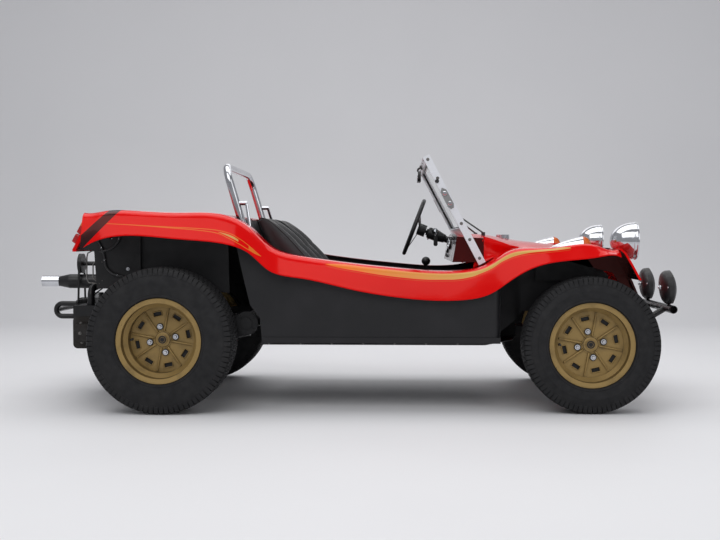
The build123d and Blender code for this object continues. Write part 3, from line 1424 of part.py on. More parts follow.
def make_carburettor():
    """Inlet manifold between the heads, with its carburettor and round air cleaner."""
    port = HEAD_TOP + SEAT_GAP
    with BuildPart() as carburettor:
        add(swept_tube([
            (MANIFOLD_X, -MANIFOLD_Y, port), (MANIFOLD_X, -MANIFOLD_Y, MANIFOLD_HEIGHT),
            (MANIFOLD_X, MANIFOLD_Y, MANIFOLD_HEIGHT), (MANIFOLD_X, MANIFOLD_Y, port),
        ], MANIFOLD_RADIUS, 45))
        with BuildSketch(Plane.YZ.offset(MANIFOLD_X)):
            with Locations((CARBURETTOR_Y, MANIFOLD_HEIGHT)):
                Circle(MANIFOLD_RADIUS - 3)
        extrude(amount=CARBURETTOR_X - MANIFOLD_X)
        with BuildSketch(Plane.XY.offset(MANIFOLD_HEIGHT - MANIFOLD_RADIUS - 4)):
            with Locations((CARBURETTOR_X, CARBURETTOR_Y)):
                Circle(MANIFOLD_RADIUS + 4)
        extrude(amount=2 * MANIFOLD_RADIUS + 10)
        with BuildSketch(Plane.XY.offset(MANIFOLD_HEIGHT + MANIFOLD_RADIUS)):
            with Locations((CARBURETTOR_X, CARBURETTOR_Y)):
                RectangleRounded(46, 60, 8)
        extrude(amount=CLEANER_FOOT - MANIFOLD_HEIGHT - MANIFOLD_RADIUS)
        with BuildSketch(Plane.XY.offset(MANIFOLD_HEIGHT + 45)):
            with Locations((CARBURETTOR_X - 5, CARBURETTOR_Y + 38)):
                Circle(16)
        extrude(amount=30)
        with BuildSketch(Plane.XY.offset(CLEANER_FOOT)):
            with Locations((CLEANER_X, CARBURETTOR_Y)):
                Circle(CLEANER_RADIUS)
        extrude(amount=CLEANER_HEIGHT)
        with BuildSketch(Plane.XY.offset(CLEANER_FOOT + CLEANER_HEIGHT)):
            with Locations((CLEANER_X, CARBURETTOR_Y)):
                Circle(CLEANER_RADIUS - 8)
        extrude(amount=10, taper=30)
    finish(carburettor, "carburettor")


def swept_tube(points, radius, bend):
    """A round bar along straight runs with equal bends."""
    with BuildPart() as tube:
        with BuildLine() as path:
            FilletPolyline(*points, radius=bend)
        with BuildSketch(Plane(origin=path.line @ 0, z_dir=path.line % 0)):
            Circle(radius)
        sweep(path=path.line)
    return tube.part


def make_exhaust():
    """Single rearward exhaust on the centre line, fed from both heads."""
    with BuildPart() as exhaust:
        with BuildSketch(Plane.YZ.offset(EXHAUST_REAR)):
            with Locations((0, EXHAUST_HEIGHT)):
                Circle(EXHAUST_RADIUS)
        with BuildSketch(Plane.YZ.offset(REAR_X - REAR_OVERHANG + TIP_LENGTH)):
            with Locations((0, EXHAUST_HEIGHT)):
                Circle(TIP_RADIUS - 3)
        loft()
        with BuildSketch(Plane.YZ.offset(EXHAUST_REAR)):
            with Locations((0, EXHAUST_HEIGHT)):
                Circle(EXHAUST_RADIUS)
        extrude(amount=EXHAUST_LENGTH)
        for _, side in SIDES:
            add(swept_tube([
                (HEADER_X - 5, 0, EXHAUST_HEIGHT - 10), (HEADER_X, side * HEADER_Y, 590),
                (HEADER_X, side * HEADER_Y, HEAD_TOP + SEAT_GAP),
            ], HEADER_RADIUS, 45))
        with BuildSketch(Plane.YZ.offset(REAR_X - REAR_OVERHANG)):
            with Locations((0, EXHAUST_HEIGHT)):
                Circle(TIP_RADIUS - 8)
        extrude(amount=EXHAUST_LENGTH, mode=Mode.SUBTRACT)
    finish(exhaust, "exhaust")


def make_exhaust_tip():
    """Bright outlet of the exhaust."""
    with BuildPart() as exhaust_tip:
        with BuildSketch(Plane.YZ.offset(REAR_X - REAR_OVERHANG)):
            with Locations((0, EXHAUST_HEIGHT)):
                Circle(TIP_RADIUS)
                Circle(TIP_RADIUS - 4, mode=Mode.SUBTRACT)
        extrude(amount=TIP_LENGTH - SEAT_GAP)
    finish(exhaust_tip, "exhaust_tip")


def make_rear_bumper():
    """Two upright tube loops behind the engine, joined by a cross tube."""
    bracket = REAR_X + ENGINE_REAR - SEAT_GAP
    with BuildPart() as rear_bumper:
        for _, side in SIDES:
            add(swept_tube(
                [(bracket, side * LOOP_Y, LOOP_TOP), (LOOP_REAR, side * LOOP_Y, LOOP_TOP),
                 (LOOP_REAR, side * LOOP_Y, LOOP_FOOT), (bracket, side * LOOP_Y, LOOP_FOOT)],
                LOOP_TUBE, (LOOP_TOP - LOOP_FOOT) / 2 - 1,
            ))
        with BuildSketch(Plane.XZ.offset(LOOP_Y)):
            with Locations((LOOP_REAR, (LOOP_TOP + LOOP_FOOT) / 2)):
                Circle(LOOP_TUBE - 0.5)
        extrude(amount=-2 * LOOP_Y)
        with BuildSketch(Plane.YZ.offset(bracket)):
            with Locations((0, (LOOP_TOP + LOOP_FOOT) / 2 + 1)):
                RectangleRounded(2 * LOOP_Y + 50, LOOP_TOP - LOOP_FOOT + 36, 10)
        extrude(amount=-8)
    finish(rear_bumper, "rear_bumper")


def make_front_bumper():
    """Cross tube with open ends on two cranked stays from the upper beam tube."""
    with BuildPart() as front_bumper:
        with BuildSketch(Plane.XZ.offset(BAR_HALF_WIDTH)):
            with Locations((FRONT_X + BAR_AHEAD, BAR_HEIGHT)):
                Circle(BAR_RADIUS)
        extrude(amount=-2 * BAR_HALF_WIDTH)
        for _, side in SIDES:
            with BuildSketch(Plane.XZ.offset(-side * BAR_HALF_WIDTH)):
                with Locations((FRONT_X + BAR_AHEAD, BAR_HEIGHT)):
                    Circle(BAR_BORE_RADIUS)
            extrude(amount=side * BAR_BORE_DEPTH, mode=Mode.SUBTRACT)
        for _, side in SIDES:
            add(swept_tube(
                [(FRONT_X + BEAM_AHEAD, side * BAR_STAY_Y, BEAM_UPPER),
                 (FRONT_X + 330, side * BAR_STAY_Y, BEAM_UPPER - 10),
                 (FRONT_X + BAR_AHEAD, side * BAR_STAY_Y, BAR_HEIGHT)],
                BAR_STAY_RADIUS, 60,
            ))
        with BuildSketch(Plane.XZ.offset(BEAM_HALF_WIDTH)):
            with Locations((FRONT_X + BEAM_AHEAD, BEAM_UPPER)):
                Circle(BEAM_RADIUS + SEAT_GAP)
        extrude(amount=-2 * BEAM_HALF_WIDTH, mode=Mode.SUBTRACT)
    finish(front_bumper, "front_bumper")


def make_driving_lamps():
    """Two round driving lamps with domed covers on the front bar."""
    tilt = math.radians(LAMP_TILT)
    dome_radius = (LAMP_RADIUS ** 2 + LAMP_DOME ** 2) / (2 * LAMP_DOME)
    reach = dome_radius - (dome_radius - LAMP_RIM - LAMP_DOME) * math.cos(tilt)
    middle = FRONT_X + FRONT_OVERHANG - reach
    with BuildPart() as driving_lamps:
        for _, side in SIDES:
            base = Plane(
                origin=(middle, side * LAMP_Y, LAMP_HEIGHT),
                x_dir=(-math.sin(tilt), 0, math.cos(tilt)), z_dir=(0, 1, 0),
            )
            with BuildSketch(base):
                with BuildLine():
                    TangentArc((0, LAMP_RIM + LAMP_DOME), (LAMP_RADIUS, LAMP_RIM), tangent=(1, 0))
                    Line((LAMP_RADIUS, LAMP_RIM), (LAMP_RADIUS, -LAMP_RIM))
                    Bezier(
                        (LAMP_RADIUS, -LAMP_RIM), (LAMP_RADIUS * 0.9, -LAMP_RIM - LAMP_BACK),
                        (LAMP_RADIUS / 2, -LAMP_RIM - LAMP_BACK), (0, -LAMP_RIM - LAMP_BACK),
                    )
                    Line((0, -LAMP_RIM - LAMP_BACK), (0, LAMP_RIM + LAMP_DOME))
                make_face()
            revolve(axis=Axis(base.origin, base.y_dir))
            with BuildSketch(Plane(origin=(FRONT_X + BAR_AHEAD, side * LAMP_Y, BAR_HEIGHT))):
                Circle(LAMP_STEM_RADIUS)
            extrude(amount=BAR_RADIUS + 15)
        with BuildSketch(Plane.XZ.offset(BAR_HALF_WIDTH)):
            with Locations((FRONT_X + BAR_AHEAD, BAR_HEIGHT)):
                Circle(BAR_RADIUS + SEAT_GAP)
        extrude(amount=-2 * BAR_HALF_WIDTH, mode=Mode.SUBTRACT)
    finish(driving_lamps, "driving_lamps")


def headlight_plane():
    """Half-plane of the left headlight's section: first axis outward, second forward."""
    return Plane(
        origin=(HEADLIGHT_FACE, HEADLIGHT_Y, HEADLIGHT_HEIGHT), x_dir=(0, 0, 1), z_dir=(0, 1, 0)
    )


def make_headlight_bowls():
    """Chromed headlight bowls on short feet, with a raised rim round the lens."""
    base = headlight_plane()
    with BuildPart() as headlight_bowls:
        with BuildSketch(base):
            with BuildLine():
                Polyline(
                    (0, -HEADLIGHT_DEPTH), (0, 0), (HEADLIGHT_RADIUS - HEADLIGHT_RIM, 0),
                    (HEADLIGHT_RADIUS - HEADLIGHT_RIM, 5), (HEADLIGHT_RADIUS, 5),
                    (HEADLIGHT_RADIUS + 1, -3), (HEADLIGHT_RADIUS, -12),
                )
                Bezier(
                    (HEADLIGHT_RADIUS, -12), (HEADLIGHT_RADIUS * 0.98, -0.55 * HEADLIGHT_DEPTH),
                    (HEADLIGHT_RADIUS * 0.6, -HEADLIGHT_DEPTH), (0, -HEADLIGHT_DEPTH),
                )
            make_face()
        revolve(axis=Axis(base.origin, base.y_dir))
        with BuildSketch(Plane(origin=(FRONT_X + 172, HEADLIGHT_Y, 740))):
            Circle(22)
        extrude(amount=80)
        with BuildSketch(Plane.XZ):
            with BuildLine():
                nose = [(x + SEAT_GAP, z + SEAT_GAP) for x, z in FRONT_FACE]
                Polyline((FRONT_X + 100, 541), (FRONT_X + 100, 812), *nose, close=True)
            make_face()
        extrude(amount=-FENDER_OUTER, mode=Mode.SUBTRACT)
        mirror(about=Plane.XZ)
    finish(headlight_bowls, "headlight_bowls")


def make_headlight_lenses():
    """Domed headlight lenses inside their rims."""
    base = headlight_plane()
    radius = HEADLIGHT_RADIUS - HEADLIGHT_RIM - SEAT_GAP
    with BuildPart() as headlight_lenses:
        with BuildSketch(base):
            with BuildLine():
                TangentArc((0, LENS_DOME), (radius, 3), tangent=(1, 0))
                Polyline((radius, 3), (radius, SEAT_GAP), (0, SEAT_GAP), (0, LENS_DOME))
            make_face()
        revolve(axis=Axis(base.origin, base.y_dir))
        mirror(about=Plane.XZ)
    finish(headlight_lenses, "headlight_lenses")


def teardrop(rows):
    """A pair of smooth bodies through upright ellipses, seated on the fenders."""
    with BuildPart() as pair:
        for _, side in SIDES:
            for ahead, half_width, half_height in rows:
                with BuildSketch(Plane.YZ.offset(FRONT_X + ahead)):
                    with Locations((side * INDICATOR_Y, INDICATOR_HEIGHT)):
                        if half_width > half_height:
                            Ellipse(half_width, half_height)
                        else:
                            Ellipse(half_height, half_width, rotation=90)
            loft()
        add(Pos(0, 0, SEAT_GAP) * shell_block(0, ROOM_DEPTH), mode=Mode.SUBTRACT)
    return pair


def make_indicators():
    """Chromed teardrop indicator bodies on the front fenders, with amber lenses."""
    finish(teardrop(INDICATOR_BODY), "indicators")
    finish(teardrop(INDICATOR_LENS), "indicator_lenses")


def make_tail_lamps():
    """Upright tail lamps, a red lens with an amber one above it on either side."""
    lean = math.atan2(TAIL_TOP[0] - TAIL_FOOT[0], TAIL_TOP[1] - TAIL_FOOT[1])
    middle = ((TAIL_TOP[0] + TAIL_FOOT[0]) / 2, (TAIL_TOP[1] + TAIL_FOOT[1]) / 2)
    with BuildPart() as tail_lamps:
        for _, side in SIDES:
            base = Plane(
                origin=(middle[0], side * TAIL_LAMP_Y, middle[1]),
                x_dir=(0, 1, 0), z_dir=(-math.cos(lean), 0, math.sin(lean)),
            ).offset(SEAT_GAP)
            with BuildSketch(base):
                with Locations((0, -TAIL_LAMP_AMBER / 2)):
                    RectangleRounded(TAIL_LAMP_WIDTH, TAIL_LAMP_RED, 10)
                with Locations((0, TAIL_LAMP_RED / 2 + 1)):
                    RectangleRounded(TAIL_LAMP_WIDTH, TAIL_LAMP_AMBER, 10)
            extrude(amount=TAIL_LAMP_DEPTH, taper=8)
    finish(tail_lamps, "tail_lamps")


def make_gauges():
    """Round instruments and switches on the panel, each in a raised bezel."""
    with BuildPart() as gauges:
        for y, up, radius in GAUGE_ROWS:
            with BuildSketch(dash_plane(-SEAT_GAP)):
                with Locations((-y, -up)):
                    Circle(radius)
            extrude(amount=-GAUGE_DEPTH)
            if radius > 2 * BEZEL_WIDTH:
                with BuildSketch(dash_plane(-SEAT_GAP - GAUGE_DEPTH)):
                    with Locations((-y, -up)):
                        Circle(radius - BEZEL_WIDTH)
                extrude(amount=GAUGE_DEPTH / 2, mode=Mode.SUBTRACT)
    finish(gauges, "gauges")


def make_wipers_and_mirror():
    """Two wipers at rest on the pane and the mirror under the frame's top bar."""
    with BuildPart() as wipers_and_mirror:
        for _, side in SIDES:
            pivot = (WIPER_X, side * WIPER_Y, 884)
            with BuildSketch(Plane.XY.offset(pivot[2] - 30)):
                with Locations(pivot[:2]):
                    Circle(10)
            extrude(amount=34)
            blade = screen_plane(BLADE_ALONG, GLASS_THICKNESS / 2 + SEAT_GAP + 9)
            bar = Vector(blade.origin.X, side * BLADE_Y, blade.origin.Z)
            with BuildSketch(Plane(origin=pivot, z_dir=bar - Vector(*pivot))):
                RectangleRounded(9, 7, 2)
            extrude(amount=(bar - Vector(*pivot)).length)
            with BuildSketch(screen_plane(0, GLASS_THICKNESS / 2 + SEAT_GAP)):
                with Locations((side * BLADE_Y, BLADE_ALONG)):
                    Rectangle(BLADE_LENGTH, 9, rotation=-side * BLADE_SLOPE)
            extrude(amount=12)
        add(Pos(0, 0, SEAT_GAP) * hood_block(), mode=Mode.SUBTRACT)
        with BuildSketch(screen_plane(0, -SCREEN_DEPTH / 2 - SEAT_GAP)):
            with Locations((0, SCREEN_LENGTH - SCREEN_BAR / 2)):
                Circle(13)
        extrude(amount=-8)
        add(swept_tube([
            (MIRROR_X + 14, 0, MIRROR_HEIGHT + 53), (MIRROR_X - 8, 0, MIRROR_HEIGHT + 44),
            (MIRROR_X, 0, MIRROR_HEIGHT),
        ], 5, 12))
        with BuildSketch(Plane.YZ.offset(MIRROR_X - 9)):
            with Locations((0, MIRROR_HEIGHT)):
                RectangleRounded(190, 56, 26)
        extrude(amount=18)
    finish(wipers_and_mirror, "wipers_and_mirror")


def make_gear_lever():
    """Cranked gear lever with a ball knob on the tunnel."""
    tunnel_top = PAN_BOTTOM + TUNNEL_HEIGHT
    with BuildPart() as gear_lever:
        add(swept_tube([
            (REAR_X + 1360, 0, tunnel_top + SEAT_GAP + 7), (REAR_X + 1350, 0, 600),
            (REAR_X + 1310, 0, 712),
        ], 6, 60))
        with BuildSketch(Plane.XY.offset(tunnel_top + SEAT_GAP)):
            with Locations((REAR_X + 1360, 0)):
                Circle(28)
        extrude(amount=12)
        with Locations((REAR_X + 1309, 0, 731)):
            Sphere(24)
    finish(gear_lever, "gear_lever")


def make_pedals_and_handbrake():
    """Three floor pedals on their cross tube, and the handbrake on the tunnel."""
    floor = PAN_BOTTOM + PAN_THICKNESS + SEAT_GAP
    tunnel_top = PAN_BOTTOM + TUNNEL_HEIGHT + SEAT_GAP
    pad_lean = Plane(origin=(PEDAL_X - 42, 0, 478), x_dir=(0, 1, 0), z_dir=(-0.86, 0, 0.5))
    with BuildPart() as pedals_and_handbrake:
        with BuildSketch(Plane.XZ.offset(-PEDAL_ROWS[-1] - 30)):
            with Locations((PEDAL_X, floor + 12)):
                Circle(12)
        extrude(amount=PEDAL_ROWS[-1] - PEDAL_ROWS[0] + 60)
        for y in PEDAL_ROWS:
            add(swept_tube([
                (PEDAL_X, y, floor + 12), (PEDAL_X + 6, y, 420), (PEDAL_X - 40, y, 480),
            ], 7, 30))
            with BuildSketch(pad_lean):
                with Locations((y, 0)):
                    RectangleRounded(56, 68, 8)
            extrude(amount=8)
        with BuildSketch(Plane.XY.offset(tunnel_top)):
            with Locations((HANDBRAKE_X, 0)):
                RectangleRounded(90, 44, 10)
        extrude(amount=14)
        add(swept_tube([
            (HANDBRAKE_X, 0, tunnel_top + 8), (HANDBRAKE_X - 60, 0, 505),
            (HANDBRAKE_X - 210, 0, 560),
        ], 8, 40))
        add(swept_tube([
            (HANDBRAKE_X - 110, 0, 523.3), (HANDBRAKE_X - 150, 0, 538),
            (HANDBRAKE_X - 215, 0, 562),
        ], 13, 20))
    finish(pedals_and_handbrake, "pedals_and_handbrake")


def make_filler_cap():
    """Round filler cap on the hood."""
    with BuildPart() as filler_cap:
        with BuildSketch(Plane.XY.offset(845)):
            with Locations((FRONT_X - 372, 0)):
                Circle(36)
        extrude(amount=31)
        add(Pos(0, 0, SEAT_GAP) * hood_block(), mode=Mode.SUBTRACT)
    finish(filler_cap, "filler_cap")


if __name__ == "__main__":
    make_body_shell()
    make_tail_corners()
    make_tail_panel()
    make_hood()
    make_cowl()
    make_gauges()
    make_floorpan()
    make_cockpit_tub()
    for side_name, sign in SIDES:
        make_side_panel(f"side_panel_{side_name}", sign)
    make_rear_inner_wings()
    make_windscreen()
    make_wipers_and_mirror()
    make_roll_hoop()
    for side_name, sign in SIDES:
        make_seat(f"seat_{side_name}", sign)
    make_steering_wheel()
    make_steering_column()
    make_pitman_arm()
    for side_name, sign in SIDES:
        make_tie_rod(f"tie_rod_{side_name}", sign)
    make_front_beam()
    for side_name, sign in SIDES:
        make_front_arms(side_name, sign)
        make_knuckle(side_name, sign)
    for axle_name, axle_x, radius, track, width, rim, dish in WHEEL_ROWS:
        for side_name, sign in SIDES:
            make_rim(f"{axle_name}_{side_name}", sign, axle_x, radius, track, rim, dish)
            make_tyre(f"{axle_name}_{side_name}", sign, axle_x, radius, track, width, rim)
    make_torsion_housing()
    make_trailing_arms()
    make_gearbox()
    make_engine_case()
    make_cylinders()
    make_fan_housing()
    make_generator()
    make_carburettor()
    make_exhaust()
    make_exhaust_tip()
    make_rear_bumper()
    make_front_bumper()
    make_driving_lamps()
    make_headlight_bowls()
    make_headlight_lenses()
    make_indicators()
    make_tail_lamps()
    make_gear_lever()
    make_pedals_and_handbrake()
    make_filler_cap()
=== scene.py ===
"""Looks of an open beach buggy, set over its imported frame. All lengths are in metres."""

import json
import math

import bmesh
import bpy
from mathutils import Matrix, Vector


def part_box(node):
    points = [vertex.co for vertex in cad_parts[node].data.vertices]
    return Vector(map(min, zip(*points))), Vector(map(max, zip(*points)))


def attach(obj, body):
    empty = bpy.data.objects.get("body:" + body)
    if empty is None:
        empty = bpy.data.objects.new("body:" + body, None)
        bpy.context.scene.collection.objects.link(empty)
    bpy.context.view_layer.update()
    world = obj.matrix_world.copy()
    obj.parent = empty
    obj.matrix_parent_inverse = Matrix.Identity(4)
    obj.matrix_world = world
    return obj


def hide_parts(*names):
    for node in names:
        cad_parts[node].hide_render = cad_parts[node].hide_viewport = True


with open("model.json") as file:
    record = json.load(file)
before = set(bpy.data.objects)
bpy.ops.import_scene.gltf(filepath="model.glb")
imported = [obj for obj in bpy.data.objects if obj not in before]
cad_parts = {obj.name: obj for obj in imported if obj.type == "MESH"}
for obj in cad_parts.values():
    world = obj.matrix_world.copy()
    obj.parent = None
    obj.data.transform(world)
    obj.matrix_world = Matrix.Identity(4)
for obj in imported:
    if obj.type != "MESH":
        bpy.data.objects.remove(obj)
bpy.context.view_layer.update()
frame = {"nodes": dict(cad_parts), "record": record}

SIDES = (("left", 1), ("right", -1))
AXLES = ("front", "rear")
NODES = frame["nodes"]
TURN = 2 * math.pi

# Camera of the photograph, whose frame is 720 by 540 pixels
CAMERA_PLACE = (0.2675, -6.254, 0.855)
CAMERA_YAW = math.radians(-1.991)
CAMERA_PITCH = math.radians(-1.59)
FOCAL_PIXELS = 1137.3
FRAME_WIDTH = 720
SENSOR_WIDTH = 36.0


def srgb(red, green, blue):
    """A display colour from 0 to 255 as a linear one from 0 to 1."""
    def linear(value):
        value = value / 255
        return value / 12.92 if value <= 0.04045 else ((value + 0.055) / 1.055) ** 2.4
    return tuple(linear(value) for value in (red, green, blue))


class Finish:
    """A procedural material, built up step by step on one shader."""

    def __init__(self, name, colour, roughness, metallic=0.0, **sockets):
        self.material = bpy.data.materials.new(name)
        self.material.use_nodes = True
        tree = self.material.node_tree
        self.nodes = tree.nodes
        self.links = tree.links
        self.shader = tree.nodes["Principled BSDF"]
        self.colour = None
        self.rough = None
        self.normal = None
        self.shader.inputs["Base Color"].default_value = (*colour, 1)
        self.shader.inputs["Roughness"].default_value = roughness
        self.shader.inputs["Metallic"].default_value = metallic
        for socket, value in sockets.items():
            self.shader.inputs[socket.replace("_", " ")].default_value = value
        where = self.nodes.new("ShaderNodeTexCoord")
        self.place = where.outputs["Object"]
        self.facing = where.outputs["Normal"]

    def stretched(self, stretch):
        """Object coordinates scaled along each axis."""
        node = self.nodes.new("ShaderNodeMapping")
        node.inputs["Scale"].default_value = stretch
        self.links.new(self.place, node.inputs["Vector"])
        return node.outputs["Vector"]

    def noise(self, scale, detail=3.0, stretch=None):
        """Cloudy variation, a value about 0.5."""
        node = self.nodes.new("ShaderNodeTexNoise")
        node.inputs["Scale"].default_value = scale
        node.inputs["Detail"].default_value = detail
        self.links.new(self.stretched(stretch) if stretch else self.place, node.inputs["Vector"])
        return node.outputs["Fac"]

    def cells(self, scale, feature="F1"):
        """Distance to the nearest point of a cell pattern."""
        node = self.nodes.new("ShaderNodeTexVoronoi")
        node.feature = feature
        node.inputs["Scale"].default_value = scale
        self.links.new(self.place, node.inputs["Vector"])
        return node.outputs["Distance"]

    def waves(self, scale, axis):
        """Parallel bands across one axis."""
        node = self.nodes.new("ShaderNodeTexWave")
        node.bands_direction = axis
        node.inputs["Scale"].default_value = scale
        self.links.new(self.place, node.inputs["Vector"])
        return node.outputs["Fac"]

    def ranged(self, value, low, high, start=0.0, end=1.0):
        """The value brought from low..high to start..end."""
        node = self.nodes.new("ShaderNodeMapRange")
        node.inputs["From Min"].default_value = low
        node.inputs["From Max"].default_value = high
        node.inputs["To Min"].default_value = start
        node.inputs["To Max"].default_value = end
        self.links.new(value, node.inputs["Value"])
        return node.outputs["Result"]

    def combine(self, operation, first, second=0.0):
        """One arithmetic step on one or two values, each a socket or a number."""
        node = self.nodes.new("ShaderNodeMath")
        node.operation = operation
        for socket, value in zip(node.inputs, (first, second)):
            if isinstance(value, (int, float)):
                socket.default_value = value
            else:
                self.links.new(value, socket)
        return node.outputs["Value"]

    def axis(self, name, facing=False):
        """One object coordinate, or one part of the way the surface faces."""
        node = self.nodes.new("ShaderNodeSeparateXYZ")
        self.links.new(self.facing if facing else self.place, node.inputs["Vector"])
        return node.outputs[name]

    def curve(self, value, points):
        """A smooth curve through the points (input, output), inputs evenly scaled to 0..1."""
        first, last = points[0][0], points[-1][0]
        low = min(out for _, out in points)
        high = max(out for _, out in points)
        scaled = self.ranged(value, first, last)
        node = self.nodes.new("ShaderNodeFloatCurve")
        track = node.mapping.curves[0]
        while len(track.points) < len(points):
            track.points.new(0.5, 0.5)
        for point, (place, out) in zip(track.points, points):
            point.location = ((place - first) / (last - first), (out - low) / (high - low))
        node.mapping.update()
        self.links.new(scaled, node.inputs["Value"])
        return self.ranged(node.outputs["Value"], 0, 1, low, high)

    def tint(self, mask, colour):
        """Lays a colour, or a colour socket, over the base where the mask is 1."""
        node = self.nodes.new("ShaderNodeMix")
        node.data_type = "RGBA"
        base, top, out = node.inputs[6], node.inputs[7], node.outputs[2]
        if self.colour is None:
            base.default_value = self.shader.inputs["Base Color"].default_value
        else:
            self.links.new(self.colour, base)
        if isinstance(colour, tuple):
            top.default_value = (*colour, 1)
        else:
            self.links.new(colour, top)
        self.links.new(mask, node.inputs["Factor"])
        self.colour = out
        self.links.new(out, self.shader.inputs["Base Color"])

    def vary_roughness(self, mask, low, high, start, end):
        """Roughness from start to end as the mask goes from low to high."""
        self.links.new(self.ranged(mask, low, high, start, end), self.shader.inputs["Roughness"])

    def bump(self, height, distance, strength=1.0):
        """Adds relief of a height in metres."""
        node = self.nodes.new("ShaderNodeBump")
        node.inputs["Strength"].default_value = strength
        node.inputs["Distance"].default_value = distance
        self.links.new(height, node.inputs["Height"])
        if self.normal is not None:
            self.links.new(self.normal, node.inputs["Normal"])
        self.normal = node.outputs["Normal"]
        self.links.new(self.normal, self.shader.inputs["Normal"])


REAR_X = (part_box("tyre_rear_left")[0].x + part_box("tyre_rear_left")[1].x) / 2
FRONT_X = (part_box("tyre_front_left")[0].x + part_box("tyre_front_left")[1].x) / 2

RED = srgb(214, 2, 4)
DEEP_RED = srgb(190, 4, 6)
RED_SHINE = (1.0, 0.14, 0.10, 1.0)
LINING = srgb(24, 23, 24)
GOLD = srgb(196, 158, 84)
ORANGE = srgb(228, 120, 46)

# Distance from the middle of the car over which the stripes fade in
FLANK = (0.655, 0.658)
# Slant of the tail's black band, and a point on its upper edge: x from the rear axle, height
BAND_SLOPE = 0.948
BAND_EDGE = (-0.273, 0.982)
# Height at which a tail lamp's amber part begins, from the lamp's foot
AMBER_START = 0.092
# Columns: x forward of the rear axle, lower and upper height of the main stripe
SIDE_STRIPE = (
    (0.800, 0.728, 0.731), (0.860, 0.712, 0.730), (0.960, 0.694, 0.722), (1.069, 0.676, 0.709),
    (1.190, 0.661, 0.700), (1.314, 0.652, 0.692), (1.420, 0.652, 0.689), (1.508, 0.664, 0.693),
    (1.560, 0.682, 0.708), (1.608, 0.703, 0.734), (1.677, 0.746, 0.780), (1.740, 0.771, 0.798),
    (1.803, 0.784, 0.806), (1.870, 0.791, 0.810), (1.950, 0.799, 0.812), (2.000, 0.806, 0.812),
)
# Columns: x from the rear axle, lower and upper height of the hip's pinstripe
HIP_STRIPE = (
    (-0.300, 0.927, 0.931), (-0.120, 0.917, 0.922), (0.060, 0.903, 0.912), (0.180, 0.893, 0.906),
    (0.270, 0.880, 0.898), (0.330, 0.855, 0.884), (0.380, 0.828, 0.858), (0.430, 0.797, 0.822),
    (0.470, 0.774, 0.786), (0.490, 0.766, 0.768),
)


def painted_band(finish, rows, edge):
    """Mask of a band between two curves of height along the car."""
    along = finish.axis("X")
    height = finish.axis("Z")
    low = finish.curve(along, [(REAR_X + x, z) for x, z, _ in rows])
    high = finish.curve(along, [(REAR_X + x, z) for x, _, z in rows])
    above = finish.ranged(finish.combine("SUBTRACT", height, low), 0, edge)
    below = finish.ranged(finish.combine("SUBTRACT", high, height), 0, edge)
    after = finish.ranged(along, REAR_X + rows[0][0], REAR_X + rows[0][0] + edge)
    before = finish.ranged(along, REAR_X + rows[-1][0], REAR_X + rows[-1][0] - edge)
    flank = finish.ranged(finish.combine("ABSOLUTE", finish.axis("Y")), *FLANK)
    mask = finish.combine("MULTIPLY", above, below)
    mask = finish.combine("MULTIPLY", mask, finish.combine("MULTIPLY", after, before))
    return finish.combine("MULTIPLY", mask, flank)


def inside_faces(finish):
    """Mask of the faces that look down or towards the middle of the car."""
    side = finish.combine("SIGN", finish.axis("Y"))
    outward = finish.combine("MULTIPLY", side, finish.axis("Y", True))
    inward = finish.combine("MULTIPLY", outward, -1.0)
    rise = finish.axis("Z", True)
    under = finish.combine("MULTIPLY", finish.ranged(rise, -0.30, -0.36),
                       finish.ranged(inward, -0.35, -0.25))
    half = finish.combine("ABSOLUTE", finish.axis("Y"))
    within = finish.combine("MULTIPLY", finish.ranged(inward, 0.20, 0.26),
                        finish.ranged(rise, 0.10, 0.05))
    within = finish.combine("MULTIPLY", within, finish.ranged(half, 0.520, 0.525))
    well = finish.combine("MULTIPLY", finish.ranged(inward, -0.15, -0.20),
                      finish.ranged(rise, 0.15, 0.10))
    well = finish.combine("MULTIPLY", well, finish.ranged(half, 0.620, 0.615))
    return finish.combine("MAXIMUM", finish.combine("MAXIMUM", under, within), well)


def red_paint(name, roughness, coat, shine, cloud=3.0, depth=0.2, **sockets):
    """Glossy red gel coat with cloudy depth and a faint ripple."""
    finish = Finish(name, RED, roughness, Coat_Weight=coat, Specular_Tint=RED_SHINE, **sockets)
    finish.tint(finish.ranged(finish.noise(cloud), 0.35, 0.75, 0, depth), DEEP_RED)
    finish.vary_roughness(finish.noise(9, 4), 0.35, 0.7, *shine)
    finish.bump(finish.noise(28, 1), 0.0004, 0.25)
    return finish


def gel_coat(name, striped):
    """Red paint and, on the shell, its stripes and its dark inside."""
    finish = red_paint(name, 0.2, 0.22, (0.10, 0.2), 1.7, 0.16, Coat_Roughness=0.04,
                       Coat_IOR=1.45, Specular_IOR_Level=0.5)
    if striped:
        fade = finish.ranged(finish.axis("X"), REAR_X + 0.9, REAR_X + 1.5)
        paint = finish.nodes.new("ShaderNodeMix")
        paint.data_type = "RGBA"
        paint.inputs[6].default_value = (*ORANGE, 1)
        paint.inputs[7].default_value = (*GOLD, 1)
        finish.links.new(fade, paint.inputs["Factor"])
        outline = [(x, low - 0.0075, low - 0.0050) for x, low, _ in SIDE_STRIPE]
        inner = [(x, low + 0.0035, high - 0.0035) for x, low, high in HIP_STRIPE[1:-2]]
        gold = [(x, low + 0.010, high - 0.009) for x, low, high in HIP_STRIPE[4:-3]]
        for rows, edge, colour in (
            (SIDE_STRIPE, 0.0012, paint.outputs[2]), (outline, 0.0008, srgb(198, 96, 40)),
            (HIP_STRIPE, 0.0012, srgb(214, 112, 40)), (inner, 0.001, RED), (gold, 0.001, GOLD),
        ):
            finish.tint(painted_band(finish, rows, edge), colour)
        finish.tint(inside_faces(finish), LINING)
    return finish.material


